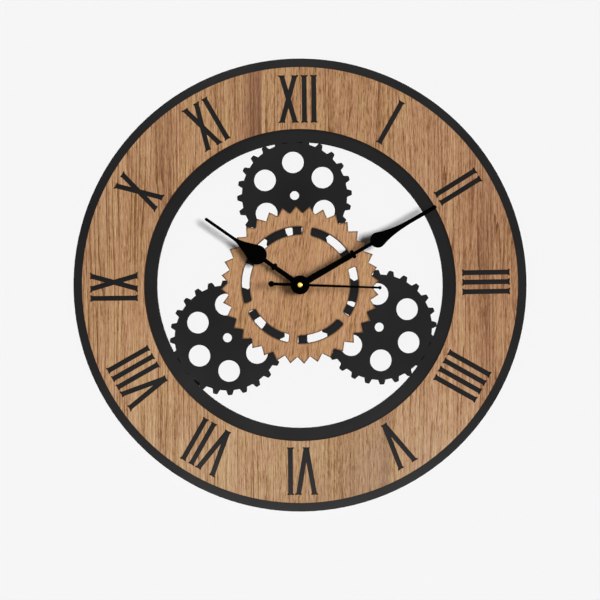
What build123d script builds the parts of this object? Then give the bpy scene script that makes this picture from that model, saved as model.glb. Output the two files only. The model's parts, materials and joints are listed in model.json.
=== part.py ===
from build123d import *

import os
from math import asin, cos, degrees, pi, radians, sin, sqrt

# Wall clock with a gear pattern: a black board cut as a ring, three gear discs and a saw-toothed
# wheel, an oak dial ring and an oak wheel glued to its front, three spade hands, and a quartz
# movement with a battery behind the middle.
#
# Millimetres. The origin is where the hand axis meets the wall, +Z points to twelve o'clock and
# the dial faces -Y. A depth is a distance from the wall towards the viewer. Angles are clock
# angles: degrees clockwise from twelve, as the viewer sees them.

# Board and oak dial ring
outer_d = 500.0
rim_width = 10.0
band_width = 68.5
lip_width = 13.7
board_t = 4.0
oak_t = 4.0

# Numerals cut through the dial ring
numeral_height = 52.3
numeral_in = 1.1
stroke_width = 5.0
serif_width = 7.0
serif_t = 0.8
serif_flare = 1.4
serif_notch = 0.5
letter_advance = {"I": 10.5, "V": 24.5, "X": 24.5}
v_half_spread = 8.9
x_half_spread = 7.4

# Each numeral has a turn, clockwise in degrees, from its even place on the ring.
numerals = (
    ("I", -0.9),
    ("II", -1.9),
    ("III", -0.95),
    ("IIII", -0.75),
    ("V", -1.0),
    ("VI", -0.5),
    ("VII", -0.45),
    ("VIII", 0.25),
    ("IX", -0.65),
    ("X", 0.1),
    ("XI", -0.25),
    ("XII", -0.65),
)

# Gear discs of the board
disc_clock_angles = (-3.5, 118.0, 234.0)
disc_teeth = 24
disc_tip_r = 63.4
disc_root_r = 58.2
disc_tooth_tip_w = 4.6
disc_tooth_root_w = 8.4
disc_tooth_round = 1.3
disc_turn = -2.8
disc_hub_hole_d = 10.0
disc_hole_d = 24.0
disc_edge_w = 9.5
disc_holes = 6
disc_slit_w = 0.5

# The narrowest gaps between a disc's teeth and the ring are grooves: a bar closes them at the back.
# Each bar has a clock angle and a width.
slit_bars = ((-3.5, 36.0), (118.0, 36.0), (232.3, 40.0))
slit_bar_h = 11.0
slit_bar_t = 2.0

# Saw-toothed wheel: one in oak, and one in the board behind it that is a tooth behind. It reaches
# over the inner edge of the gear discs.
wheel_teeth = 36
wheel_tooth_h = 7.7
wheel_over_disc = 51.3
wheel_turn = 7.0
wheel_slots = 6
slot_inset = 27.0
slot_width = 8.8
slot_corner_r = 1.8
slot_bridge_w = 10.0
board_wheel_lag_teeth = 1

# Fits, as radial gaps
seat_gap = 0.02
running_gap = 0.08
loose_gap = 0.25

# Movement case, which takes its width and height from what it holds
case_corner_r = 4.0
case_depth = 17.0
case_wall_t = 1.2
cover_t = 1.5
pivot_boss_wall = 0.75
pivot_depth = 1.2
cover_lip_t = 1.0
cover_lip_h = 2.0
cover_lip_length = 28.0

# Hanging lug on the rear cover
lug_width = 22.0
lug_height = 15.0
lug_t = 2.5
lug_hole_r = 4.0
lug_hole_rise = 7.5
lug_side_angle = 75.0

# Battery and its bay
battery_d = 14.5
battery_length = 50.5
battery_nub_d = 5.5
battery_nub_h = 1.5
battery_gap = 0.2
contact_t = 0.4
contact_width = 9.0
contact_gap = 0.1
contact_slot = 1.0
contact_run_w = 3.0
leaf_rise = 1.7
leaf_gap = 0.3
leaf_reach = 4.8
bay_ledge = 0.8
bay_to_train_gap = 1.4

# Bush, washers and nut that clamp the movement to the board
bush_d = 8.0
bush_flange_d = 13.0
bush_beyond_nut = 0.8
board_hole_gap = 1.0
rubber_washer_d = 34.0
rubber_washer_t = 1.0
brass_washer_d = 16.0
brass_washer_t = 0.6
nut_across_flats = 12.0
nut_t = 2.5

# Arbors and pipes on the hand axis
second_arbor_d = 1.0
minute_pipe_d = 3.2
hour_pipe_d = 5.0
minute_flange_d = 4.6
minute_flange_t = 0.4
train_arbor_d = 0.8
pipe_stand = 0.7

# Hands
hour_rest_angle = 305.0
minute_rest_angle = 60.0
second_rest_angle = 92.0
hand_t = 0.9
second_hand_t = 0.6
hand_hub_r = 10.4
hand_collar_wall = 1.5
hour_collar_h = 0.7
minute_collar_h = 1.0
second_collar_h = 1.2
hand_gap = 0.5

hour_length = 127.0
hour_shaft_w = 5.8
hour_knuckle_at = 34.7
hour_knuckle_w = 8.6
hour_neck_w = 4.6
hour_spade_at = 57.6
hour_spade_r = 10.8
hour_stem_from = 90.0
hour_stem_w = 3.4

minute_length = 172.0
minute_shaft_w = 7.7
minute_knuckle_at = 67.0
minute_knuckle_w = 10.0
minute_neck_w = 4.0
minute_spade_at = 98.2
minute_spade_r = 8.5
minute_stem_from = 146.0
minute_stem_w = 4.4

knuckle_h = 4.3
spade_shoulder_angle = 20.0

second_length = 89.0
second_root_w = 3.0
second_tip_w = 2.2
second_ball_r = 1.9
second_bead_r = 1.6
second_bead_at = 80.0
second_hub_r = 5.0
second_tail_length = 34.5
second_tail_w = 3.4
second_tail_ball_r = 3.3
cap_r = 2.75
cap_h = 1.8
cap_round = 0.9
cap_grip = 0.9

# Train: tooth counts and distances between the arbors
tooth_addendum = 0.75
tooth_dedendum = 1.15
tooth_tip_share = 0.20
tooth_root_share = 0.40
second_pinion_teeth = 8
third_wheel_teeth = 60
third_pinion_teeth = 8
centre_wheel_teeth = 64
third_distance = 10.2
cannon_teeth = 12
motion_wheel_teeth = 36
motion_pinion_teeth = 10
hour_wheel_teeth = 40
motion_distance = 9.6
knob_pinion_teeth = 12
second_wheel_teeth = 64
relay_pinion_teeth = 16
relay_distance = 10.8
relay_wheel_teeth = 60
rotor_pinion_teeth = 8
rotor_distance = 7.48
third_heading = 300.0
motion_heading = 70.0
knob_heading = 65.0
relay_heading = 10.0
rotor_heading = 30.0

# Train: thicknesses and the gaps between its layers
wheel_t = 0.9
pinion_overlap = 0.15
layer_gap = 0.3
clutch_gap = 0.15
motion_post_d = 1.4

# Motor
magnet_d = 6.4
magnet_t = 2.0
stator_t = 1.0
stator_gap = 0.5
stator_ring_w = 1.9
stator_bar_w = 5.0
stator_length = 29.6
core_w = 3.0
core_t = 1.0
core_rise = 6.4
coil_w = 5.6
coil_t = 5.6
coil_gap = 0.5
coil_flange_t = 1.0
coil_flange_rise = 0.4
coil_round = 1.0
stator_post_d = 3.0

# Circuit board
pcb_width = 13.5
pcb_height = 22.2
pcb_t = 1.0
pcb_edge_gap = 0.3
crystal_d = 2.0
crystal_length = 6.0
crystal_rise = 2.0
chip_d = 5.0
chip_h = 1.2
chip_slope = 0.6
chip_drop = 5.0

# Setting knob
knob_d = 13.0
knob_h = 2.6
knob_recess = 0.6
knob_well_gap = 0.5
knob_well_wall = 1.2
knob_shaft_d = 2.4
knob_boss_h = 0.75
knob_flutes = 24
knob_flute_depth = 0.5

# Places along the depth that follow from the sizes
case_front_inside = case_depth - case_wall_t
board_back = case_depth + rubber_washer_t
board_front = board_back + board_t
oak_front = board_front + oak_t
nut_back = oak_front + brass_washer_t
bush_front = nut_back + nut_t + bush_beyond_nut
hour_hand_back = bush_front + hand_gap + hour_collar_h
hour_pipe_front = hour_hand_back + hand_t + pipe_stand
minute_hand_back = hour_pipe_front + hand_gap + minute_collar_h
minute_pipe_front = minute_hand_back + hand_t + pipe_stand
second_hand_back = minute_pipe_front + hand_gap + second_collar_h
cap_back = second_hand_back + second_hand_t
arbor_front = cap_back + cap_grip

# Back faces of the train's wheels, from the front of the case to the rear
hour_wheel_back = case_front_inside - layer_gap - wheel_t
motion_wheel_back = hour_wheel_back - layer_gap - wheel_t
centre_wheel_back = motion_wheel_back - pinion_overlap - layer_gap - wheel_t
minute_flange_back = centre_wheel_back - clutch_gap - minute_flange_t
third_wheel_back = minute_flange_back - layer_gap - wheel_t
second_wheel_back = third_wheel_back - pinion_overlap - layer_gap - wheel_t
relay_wheel_back = second_wheel_back - pinion_overlap - layer_gap - wheel_t
magnet_back = relay_wheel_back - layer_gap - magnet_t
stator_back = magnet_back + (magnet_t - stator_t) / 2
core_back = stator_back + stator_t

# Sizes across the dial that follow
board_r = outer_d / 2
dial_r = board_r - rim_width
dial_inner_r = dial_r - band_width
opening_r = dial_inner_r - lip_width
numeral_orbit = (dial_r + dial_inner_r) / 2 - numeral_in
disc_orbit = opening_r - disc_slit_w - disc_root_r
disc_hole_orbit = disc_root_r - disc_edge_w - disc_hole_d / 2
wheel_tip_r = disc_orbit - disc_tip_r + wheel_over_disc
wheel_root_r = wheel_tip_r - wheel_tooth_h
slot_orbit = wheel_tip_r - slot_inset


def on_dial(radius, clock_angle):
    """Point across the dial, right and up, at a radius and a clock angle."""
    return (radius * sin(radians(clock_angle)), radius * cos(radians(clock_angle)))


def step_from(point, distance, heading):
    """Point at a distance from another one, in the direction of a clock angle."""
    right, up = on_dial(distance, heading)
    return (point[0] + right, point[1] + up)


def dial_plane(depth, clock_angle=0.0):
    """Plane parallel to the wall at a depth, its Y axis pointing at a clock angle."""
    turn = radians(clock_angle)
    return Plane(origin=(0, -depth, 0), x_dir=(cos(turn), 0, -sin(turn)), z_dir=(0, -1, 0))


def half_angle(width, radius):
    """Half of the angle that a width takes up at a radius."""
    return degrees(asin(width / 2 / radius))


def toothed_outline(teeth, first_tooth, stations):
    """Corners of a toothed disc: every tooth repeats the stations, each a radius and an angle
    counted from the tooth's middle, and the first tooth points at a clock angle."""
    corners = []
    for number in range(teeth):
        middle = first_tooth - number * 360 / teeth
        for radius, angle in stations:
            corners.append(on_dial(radius, middle - angle))
    return corners


def flat_tooth(root_r, tip_r, root_w, tip_w):
    """Stations of a tooth with straight flanks and a flat tip."""
    root_angle = half_angle(root_w, root_r)
    tip_angle = half_angle(tip_w, tip_r)
    return [(root_r, -root_angle), (tip_r, -tip_angle), (tip_r, tip_angle), (root_r, root_angle)]


def train_outline(teeth, module, first_tooth):
    """Outline of a wheel or pinion of the train."""
    pitch_r = teeth * module / 2
    tooth = flat_tooth(
        pitch_r - tooth_dedendum * module,
        pitch_r + tooth_addendum * module,
        tooth_root_share * pi * module,
        tooth_tip_share * pi * module,
    )
    return toothed_outline(teeth, first_tooth, tooth)


def module_of(distance, teeth_a, teeth_b):
    """Module with which two wheels mesh at a distance between their arbors."""
    return 2 * distance / (teeth_a + teeth_b)


def meshed_turn(teeth_a, turn_a, teeth_b, heading):
    """First-tooth angle of wheel b whose gaps meet the teeth of wheel a, b lying at a heading."""
    offset = (turn_a - heading) * teeth_a / 360
    return heading + 180 + (0.5 - offset) * 360 / teeth_b


# Arbor places, right and up from the hand axis
third_axis = on_dial(third_distance, third_heading)
motion_axis = on_dial(motion_distance, motion_heading)
knob_module = module_of(motion_distance, cannon_teeth, motion_wheel_teeth)
knob_distance = knob_module * (motion_wheel_teeth + knob_pinion_teeth) / 2
knob_axis = step_from(motion_axis, knob_distance, knob_heading)
relay_axis = on_dial(relay_distance, relay_heading)
rotor_axis = step_from(relay_axis, rotor_distance, rotor_heading)
coil_z = rotor_axis[1] + core_rise
stator_left_x = rotor_axis[0] - stator_length
stator_ring_r = magnet_d / 2 + stator_gap + stator_ring_w
post_left = (stator_left_x + stator_bar_w / 2, rotor_axis[1])
post_right = (rotor_axis[0], coil_z)
coil_left_x = stator_left_x + stator_bar_w + coil_gap
coil_right_x = rotor_axis[0] - stator_ring_r

# Modules of the other five meshes
third_module = module_of(third_distance, second_pinion_teeth, third_wheel_teeth)
centre_module = module_of(third_distance, third_pinion_teeth, centre_wheel_teeth)
motion_module = module_of(motion_distance, motion_pinion_teeth, hour_wheel_teeth)
relay_module = module_of(relay_distance, relay_pinion_teeth, second_wheel_teeth)
rotor_module = module_of(rotor_distance, rotor_pinion_teeth, relay_wheel_teeth)

# Inside of the case: the battery bay lies under the train and the coil above it, and the width
# takes the battery with its contacts, the knob's well or the stator, whichever needs the most
well_r = knob_d / 2 + knob_well_gap
train_r = centre_module * (centre_wheel_teeth / 2 + tooth_addendum)
bay_top_z = -train_r - bay_to_train_gap - case_wall_t
battery_z = bay_top_z - battery_gap - battery_d / 2
bay_floor_z = battery_z - battery_d / 2 - battery_gap
case_top_z = coil_z + coil_w / 2 + coil_gap
battery_room = battery_length + leaf_rise + leaf_gap + contact_gap + 2 * (contact_t + contact_gap)
knob_room = 2 * (knob_axis[0] + well_r + knob_well_wall - case_wall_t)
stator_room = 2 * (stator_length - rotor_axis[0] + coil_gap)
case_inside_w = max(battery_room, knob_room, stator_room)
case_inside_h = case_top_z - bay_floor_z
case_width = case_inside_w + 2 * case_wall_t
case_height = case_inside_h + 2 * case_wall_t
case_middle = (0, (case_top_z + bay_floor_z) / 2)
case_lug_z = case_top_z + case_wall_t
lug_hole_z = case_lug_z + lug_hole_rise
bay_wall_z = bay_top_z + case_wall_t / 2
battery_depth = case_front_inside - battery_gap - battery_d / 2
contact_x = case_inside_w / 2 - contact_gap - contact_t

# First-tooth angles that bring the train into mesh
third_wheel_turn = meshed_turn(second_pinion_teeth, 0, third_wheel_teeth, third_heading)
centre_wheel_turn = meshed_turn(third_pinion_teeth, 0, centre_wheel_teeth, third_heading + 180)
motion_wheel_turn = meshed_turn(cannon_teeth, 0, motion_wheel_teeth, motion_heading)
hour_wheel_turn = meshed_turn(motion_pinion_teeth, 0, hour_wheel_teeth, motion_heading + 180)
knob_pinion_turn = meshed_turn(motion_wheel_teeth, motion_wheel_turn, knob_pinion_teeth, knob_heading)
relay_pinion_turn = meshed_turn(second_wheel_teeth, 0, relay_pinion_teeth, relay_heading)
rotor_pinion_turn = meshed_turn(relay_wheel_teeth, 0, rotor_pinion_teeth, rotor_heading)


# Flat outlines that the board and the oak wheel share
with BuildSketch() as disc_outline:
    Polygon(
        *toothed_outline(
            disc_teeth,
            disc_turn,
            flat_tooth(disc_root_r, disc_tip_r, disc_tooth_root_w, disc_tooth_tip_w),
        )
    )
    tip_corners = [v for v in disc_outline.vertices() if v.center().length > (disc_root_r + disc_tip_r) / 2]
    fillet(tip_corners, disc_tooth_round)
    Circle(disc_hub_hole_d / 2, mode=Mode.SUBTRACT)
    with PolarLocations(disc_hole_orbit, disc_holes, start_angle=90 - disc_turn):
        Circle(disc_hole_d / 2, mode=Mode.SUBTRACT)

with BuildSketch() as wheel_outline:
    Polygon(
        *toothed_outline(wheel_teeth, wheel_turn, [(wheel_tip_r, 0), (wheel_root_r, 180 / wheel_teeth)])
    )
    with BuildSketch(mode=Mode.SUBTRACT) as slots:
        Circle(slot_orbit + slot_width / 2)
        Circle(slot_orbit - slot_width / 2, mode=Mode.SUBTRACT)
        with PolarLocations(slot_orbit, wheel_slots, start_angle=90 - wheel_turn):
            Rectangle(2 * slot_width, slot_bridge_w, mode=Mode.SUBTRACT)
        fillet(slots.vertices(), slot_corner_r)


# Black board: ring, gear discs and saw-toothed wheel cut from one sheet
with BuildPart() as back_board:
    with BuildSketch(dial_plane(board_back)):
        Circle(board_r)
        Circle(opening_r, mode=Mode.SUBTRACT)
        with Locations(*[on_dial(disc_orbit, angle) for angle in disc_clock_angles]):
            add(disc_outline.sketch)
        add(wheel_outline.sketch, rotation=board_wheel_lag_teeth * 360 / wheel_teeth)
        Circle(bush_d / 2 + board_hole_gap, mode=Mode.SUBTRACT)
    extrude(amount=board_t)
    with BuildSketch(dial_plane(board_back)):
        for clock_angle, slit_bar_w in slit_bars:
            right, up = on_dial(opening_r, clock_angle)
            with Locations(Location((right, up, 0), (0, 0, -clock_angle))):
                Rectangle(slit_bar_w, slit_bar_h)
    extrude(amount=slit_bar_t)

# Oak wheel over the middle of the board
with BuildPart() as centre_gear:
    with BuildSketch(dial_plane(board_front)):
        add(wheel_outline.sketch)
        Circle(bush_d / 2 + board_hole_gap, mode=Mode.SUBTRACT)
    extrude(amount=oak_t)


def numeral_stroke(outer_x, inner_x):
    """Corners of one stroke of a numeral with a flared and notched serif at each end. It runs from
    outer_x at the rim side to inner_x at the hub side, across the numeral's own width."""
    top = numeral_height / 2
    lean = (inner_x - outer_x) / numeral_height
    half_shaft = stroke_width / 2 * sqrt(1 + lean * lean)
    half_serif = serif_width / 2 - stroke_width / 2 + half_shaft
    neck = top - serif_t - serif_flare
    upper_x = outer_x + lean * (top - neck)
    lower_x = inner_x - lean * (top - neck)
    right = [
        (inner_x + half_serif, -top),
        (inner_x + half_serif, -top + serif_t),
        (lower_x + half_shaft, -neck),
        (upper_x + half_shaft, neck),
        (outer_x + half_serif, top - serif_t),
        (outer_x + half_serif, top),
        (outer_x, top - serif_notch),
    ]
    left = [
        (outer_x - half_serif, top),
        (outer_x - half_serif, top - serif_t),
        (upper_x - half_shaft, neck),
        (lower_x - half_shaft, -neck),
        (inner_x - half_serif, -top + serif_t),
        (inner_x - half_serif, -top),
        (inner_x, -top + serif_notch),
    ]
    return right + left


def numeral_strokes(letters):
    """Strokes of a numeral, centred on its width."""
    left = -sum(letter_advance[letter] for letter in letters) / 2
    strokes = []
    for letter in letters:
        middle = left + letter_advance[letter] / 2
        if letter == "I":
            strokes.append(numeral_stroke(middle, middle))
        if letter == "V":
            strokes.append(numeral_stroke(middle - v_half_spread, middle))
            strokes.append(numeral_stroke(middle + v_half_spread, middle))
        if letter == "X":
            strokes.append(numeral_stroke(middle - x_half_spread, middle + x_half_spread))
            strokes.append(numeral_stroke(middle + x_half_spread, middle - x_half_spread))
        left += letter_advance[letter]
    return strokes


# Oak dial ring with the hours cut through
with BuildPart() as dial_ring:
    with BuildSketch(dial_plane(board_front)):
        Circle(dial_r)
        Circle(dial_inner_r, mode=Mode.SUBTRACT)
        for hour, (letters, turn) in enumerate(numerals, start=1):
            clock_angle = hour * 360 / len(numerals) + turn
            right, up = on_dial(numeral_orbit, clock_angle)
            with Locations(Location((right, up, 0), (0, 0, -clock_angle))):
                for stroke in numeral_strokes(letters):
                    Polygon(*stroke, mode=Mode.SUBTRACT)
    extrude(amount=oak_t)


def spade_blade(length, shaft_w, knuckle_at, knuckle_w, neck_w, spade_at, spade_r, stem_from, stem_w):
    """Draws a spade hand along +Y: hub, tapering shaft, knuckle, neck, spade and thin stem."""
    Circle(hand_hub_r)
    shaft_end_w = (shaft_w + neck_w) / 2
    Polygon(
        (-shaft_w / 2, 0), (shaft_w / 2, 0), (shaft_end_w / 2, knuckle_at), (-shaft_end_w / 2, knuckle_at)
    )
    with Locations((0, (knuckle_at + spade_at) / 2)):
        Rectangle(neck_w, spade_at - knuckle_at)
    with Locations((0, knuckle_at)):
        SlotOverall(knuckle_w, knuckle_h)
    lift = radians(spade_shoulder_angle)
    shoulder = (spade_r * cos(lift), spade_at + spade_r * sin(lift))
    flank = (spade_r * cos(lift), spade_at - spade_r * sin(lift))
    tip = length - stem_w / 2
    with BuildLine() as spade:
        ThreePointArc((0, spade_at - spade_r), flank, shoulder)
        Spline(shoulder, (stem_w / 2, stem_from), tangents=[(-sin(lift), cos(lift)), (0, 1)])
        Line((stem_w / 2, stem_from), (stem_w / 2, tip))
        RadiusArc((stem_w / 2, tip), (0, length), -stem_w / 2)
        mirror(about=Plane.YZ)
    make_face(spade.edges())


# Hands: flat blades, each with a collar behind that grips its pipe or arbor
with BuildPart() as hour_hand:
    with BuildSketch(dial_plane(hour_hand_back, hour_rest_angle)):
        spade_blade(
            hour_length, hour_shaft_w, hour_knuckle_at, hour_knuckle_w, hour_neck_w,
            hour_spade_at, hour_spade_r, hour_stem_from, hour_stem_w,
        )
    extrude(amount=hand_t)
    with BuildSketch(dial_plane(hour_hand_back)):
        Circle(hour_pipe_d / 2 + hand_collar_wall)
    extrude(amount=-hour_collar_h)
    with BuildSketch(dial_plane(hour_hand_back - hour_collar_h)):
        Circle(hour_pipe_d / 2 + seat_gap)
    extrude(amount=hour_collar_h + hand_t, mode=Mode.SUBTRACT)

with BuildPart() as minute_hand:
    with BuildSketch(dial_plane(minute_hand_back, minute_rest_angle)):
        spade_blade(
            minute_length, minute_shaft_w, minute_knuckle_at, minute_knuckle_w, minute_neck_w,
            minute_spade_at, minute_spade_r, minute_stem_from, minute_stem_w,
        )
    extrude(amount=hand_t)
    with BuildSketch(dial_plane(minute_hand_back)):
        Circle(minute_pipe_d / 2 + hand_collar_wall)
    extrude(amount=-minute_collar_h)
    with BuildSketch(dial_plane(minute_hand_back - minute_collar_h)):
        Circle(minute_pipe_d / 2 + seat_gap)
    extrude(amount=minute_collar_h + hand_t, mode=Mode.SUBTRACT)

with BuildPart() as second_hand:
    with BuildSketch(dial_plane(second_hand_back, second_rest_angle)):
        Circle(second_hub_r)
        Polygon(
            (-second_root_w / 2, 0),
            (second_root_w / 2, 0),
            (second_tip_w / 2, second_length - second_ball_r),
            (-second_tip_w / 2, second_length - second_ball_r),
        )
        with Locations((0, second_length - second_ball_r)):
            Circle(second_ball_r)
        with Locations((0, second_bead_at)):
            Circle(second_bead_r)
        tail_ball_y = second_tail_ball_r - second_tail_length
        with Locations((0, tail_ball_y / 2)):
            Rectangle(second_tail_w, -tail_ball_y)
        with Locations((0, tail_ball_y)):
            Circle(second_tail_ball_r)
    extrude(amount=second_hand_t)
    with BuildSketch(dial_plane(second_hand_back)):
        Circle(second_arbor_d / 2 + hand_collar_wall)
    extrude(amount=-second_collar_h)
    with BuildSketch(dial_plane(second_hand_back - second_collar_h)):
        Circle(second_arbor_d / 2 + seat_gap)
    extrude(amount=second_collar_h + second_hand_t, mode=Mode.SUBTRACT)

with BuildPart() as second_cap:
    with BuildSketch(dial_plane(cap_back)):
        Circle(cap_r)
    extrude(amount=cap_h)
    fillet(second_cap.edges().sort_by(Axis.Y)[0], cap_round)
    with BuildSketch(dial_plane(cap_back)):
        Circle(second_arbor_d / 2 + seat_gap)
    extrude(amount=arbor_front - cap_back + seat_gap, mode=Mode.SUBTRACT)


# Bush, washers and nut
with BuildPart() as threaded_bush:
    with BuildSketch(dial_plane(case_front_inside)):
        Circle(bush_d / 2)
    extrude(amount=bush_front - case_front_inside)
    with BuildSketch(dial_plane(case_depth)):
        Circle(bush_flange_d / 2)
    extrude(amount=rubber_washer_t)
    with BuildSketch(dial_plane(case_front_inside)):
        Circle(hour_pipe_d / 2 + running_gap)
    extrude(amount=bush_front - case_front_inside, mode=Mode.SUBTRACT)

with BuildPart() as rubber_washer:
    with BuildSketch(dial_plane(case_depth)):
        Circle(rubber_washer_d / 2)
        Circle(bush_flange_d / 2 + loose_gap, mode=Mode.SUBTRACT)
    extrude(amount=rubber_washer_t)

with BuildPart() as brass_washer:
    with BuildSketch(dial_plane(oak_front)):
        Circle(brass_washer_d / 2)
        Circle(bush_d / 2 + loose_gap, mode=Mode.SUBTRACT)
    extrude(amount=brass_washer_t)

with BuildPart() as lock_nut:
    with BuildSketch(dial_plane(nut_back)):
        RegularPolygon(nut_across_flats / 2, side_count=6, major_radius=False)
        Circle(bush_d / 2 + seat_gap, mode=Mode.SUBTRACT)
    extrude(amount=nut_t)


# Front case of the movement: shell, battery bay wall, pivot bosses and the motion wheel's post.
# A pivot is an arbor's end in a blind hole of its boss.
pivot_hole_r = train_arbor_d / 2 + running_gap
pivot_boss_r = pivot_hole_r + pivot_boss_wall
third_boss_back = motion_wheel_back
relay_boss_back = second_wheel_back + wheel_t + pinion_overlap + layer_gap
rotor_boss_back = second_wheel_back + wheel_t
front_pivots = (
    (third_axis, third_boss_back), (relay_axis, relay_boss_back), (rotor_axis, rotor_boss_back)
)
knob_boss_back = case_front_inside - knob_boss_h

with BuildPart() as movement_case:
    with BuildSketch(dial_plane(cover_t)):
        with Locations(case_middle):
            RectangleRounded(case_width, case_height, case_corner_r)
    extrude(amount=case_depth - cover_t)
    with BuildSketch(dial_plane(cover_t)):
        with Locations(case_middle):
            RectangleRounded(case_inside_w, case_inside_h, case_corner_r - case_wall_t)
    extrude(amount=case_front_inside - cover_t, mode=Mode.SUBTRACT)
    with BuildSketch(dial_plane(cover_t)):
        with Locations((0, bay_wall_z)):
            Rectangle(case_inside_w - 2 * contact_slot, case_wall_t)
    extrude(amount=case_front_inside - cover_t)
    for axis, boss_back in front_pivots:
        with BuildSketch(dial_plane(boss_back)):
            with Locations(axis):
                Circle(pivot_boss_r)
        extrude(amount=case_front_inside - boss_back)
        with BuildSketch(dial_plane(boss_back)):
            with Locations(axis):
                Circle(pivot_hole_r)
        extrude(amount=pivot_depth + layer_gap, mode=Mode.SUBTRACT)
    with BuildSketch(dial_plane(motion_wheel_back)):
        with Locations(motion_axis):
            Circle(motion_post_d / 2)
    extrude(amount=case_front_inside - motion_wheel_back)
    with BuildSketch(dial_plane(knob_boss_back)):
        with Locations(knob_axis):
            Circle(knob_shaft_d / 2 + running_gap + pivot_boss_wall)
    extrude(amount=case_front_inside - knob_boss_back)
    with BuildSketch(dial_plane(knob_boss_back)):
        with Locations(knob_axis):
            Circle(knob_shaft_d / 2 + running_gap)
    extrude(amount=case_front_inside - knob_boss_back, mode=Mode.SUBTRACT)
    with BuildSketch(dial_plane(case_front_inside)):
        Circle(bush_d / 2 + seat_gap)
    extrude(amount=case_wall_t, mode=Mode.SUBTRACT)


# Rear cover: plate with the bay's mouth, the knob's well, pivot bosses, stator posts and the lug
second_boss_front = relay_wheel_back
third_cover_boss_front = relay_wheel_back
relay_cover_boss_front = relay_wheel_back - layer_gap
rotor_cover_boss_front = magnet_back - layer_gap
cover_pivots = (
    ((0, 0), second_boss_front, second_arbor_d / 2 + running_gap),
    (third_axis, third_cover_boss_front, pivot_hole_r),
    (relay_axis, relay_cover_boss_front, pivot_hole_r),
    (rotor_axis, rotor_cover_boss_front, pivot_hole_r),
)
well_floor = knob_recess + knob_h + knob_well_gap
bay_mouth_width = case_inside_w - 2 * bay_ledge
bay_mouth_height = bay_top_z - bay_floor_z - bay_ledge
bay_mouth_z = bay_top_z - bay_mouth_height / 2
lip_x = case_inside_w / 2 - seat_gap
lip_z = case_top_z - seat_gap

with BuildPart() as rear_cover:
    with BuildSketch(dial_plane(0)):
        with Locations(case_middle):
            RectangleRounded(case_width, case_height, case_corner_r)
        with Locations((0, bay_mouth_z)):
            Rectangle(bay_mouth_width, bay_mouth_height, mode=Mode.SUBTRACT)
    extrude(amount=cover_t)
    with BuildSketch(dial_plane(0)):
        with Locations((0, case_lug_z)):
            Trapezoid(lug_width, lug_height, lug_side_angle, align=(Align.CENTER, Align.MIN))
        with Locations((0, lug_hole_z)):
            Circle(lug_hole_r, mode=Mode.SUBTRACT)
    extrude(amount=lug_t)
    with BuildSketch(dial_plane(cover_t)):
        with Locations((0, lip_z)):
            Rectangle(cover_lip_length, cover_lip_t, align=(Align.CENTER, Align.MAX))
        with Locations((lip_x, knob_axis[1])):
            Rectangle(cover_lip_t, cover_lip_length, align=(Align.MAX, Align.CENTER))
    extrude(amount=cover_lip_h)
    with BuildSketch(dial_plane(0)):
        with Locations(knob_axis):
            Circle(well_r + knob_well_wall)
    extrude(amount=well_floor + knob_well_wall)
    with BuildSketch(dial_plane(0)):
        with Locations(knob_axis):
            Circle(well_r)
    extrude(amount=well_floor, mode=Mode.SUBTRACT)
    with BuildSketch(dial_plane(well_floor)):
        with Locations(knob_axis):
            Circle(knob_shaft_d / 2 + running_gap)
    extrude(amount=knob_well_wall, mode=Mode.SUBTRACT)
    for post in (post_left, post_right):
        with BuildSketch(dial_plane(cover_t)):
            with Locations(post):
                Circle(stator_post_d / 2)
        extrude(amount=stator_back - cover_t)
    for axis, boss_front, hole_r in cover_pivots:
        with BuildSketch(dial_plane(cover_t)):
            with Locations(axis):
                Circle(hole_r + pivot_boss_wall)
        extrude(amount=boss_front - cover_t)
        with BuildSketch(dial_plane(boss_front)):
            with Locations(axis):
                Circle(hole_r)
        extrude(amount=-pivot_depth - layer_gap, mode=Mode.SUBTRACT)


# Train, from the hand axis outwards. A wheel with its pinion and pivots is one moulding.
with BuildPart() as hour_wheel:
    with BuildSketch(dial_plane(hour_wheel_back)):
        Polygon(*train_outline(hour_wheel_teeth, motion_module, hour_wheel_turn))
    extrude(amount=wheel_t)
    with BuildSketch(dial_plane(hour_wheel_back)):
        Circle(hour_pipe_d / 2)
    extrude(amount=hour_pipe_front - hour_wheel_back)
    with BuildSketch(dial_plane(hour_wheel_back)):
        Circle(minute_pipe_d / 2 + running_gap)
    extrude(amount=hour_pipe_front - hour_wheel_back, mode=Mode.SUBTRACT)

with BuildPart() as minute_pipe:
    with BuildSketch(dial_plane(minute_flange_back)):
        Circle(minute_flange_d / 2)
    extrude(amount=minute_flange_t)
    with BuildSketch(dial_plane(motion_wheel_back - pinion_overlap)):
        Polygon(*train_outline(cannon_teeth, knob_module, 0))
    extrude(amount=wheel_t + 2 * pinion_overlap)
    with BuildSketch(dial_plane(minute_flange_back)):
        Circle(minute_pipe_d / 2)
    extrude(amount=minute_pipe_front - minute_flange_back)
    with BuildSketch(dial_plane(minute_flange_back)):
        Circle(second_arbor_d / 2 + running_gap)
    extrude(amount=minute_pipe_front - minute_flange_back, mode=Mode.SUBTRACT)

with BuildPart() as centre_wheel:
    with BuildSketch(dial_plane(centre_wheel_back)):
        Polygon(*train_outline(centre_wheel_teeth, centre_module, centre_wheel_turn))
        Circle(minute_pipe_d / 2 + running_gap, mode=Mode.SUBTRACT)
    extrude(amount=wheel_t)

with BuildPart() as second_arbor:
    with BuildSketch(dial_plane(second_boss_front - pivot_depth)):
        Circle(second_arbor_d / 2)
    extrude(amount=arbor_front - second_boss_front + pivot_depth)

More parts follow.
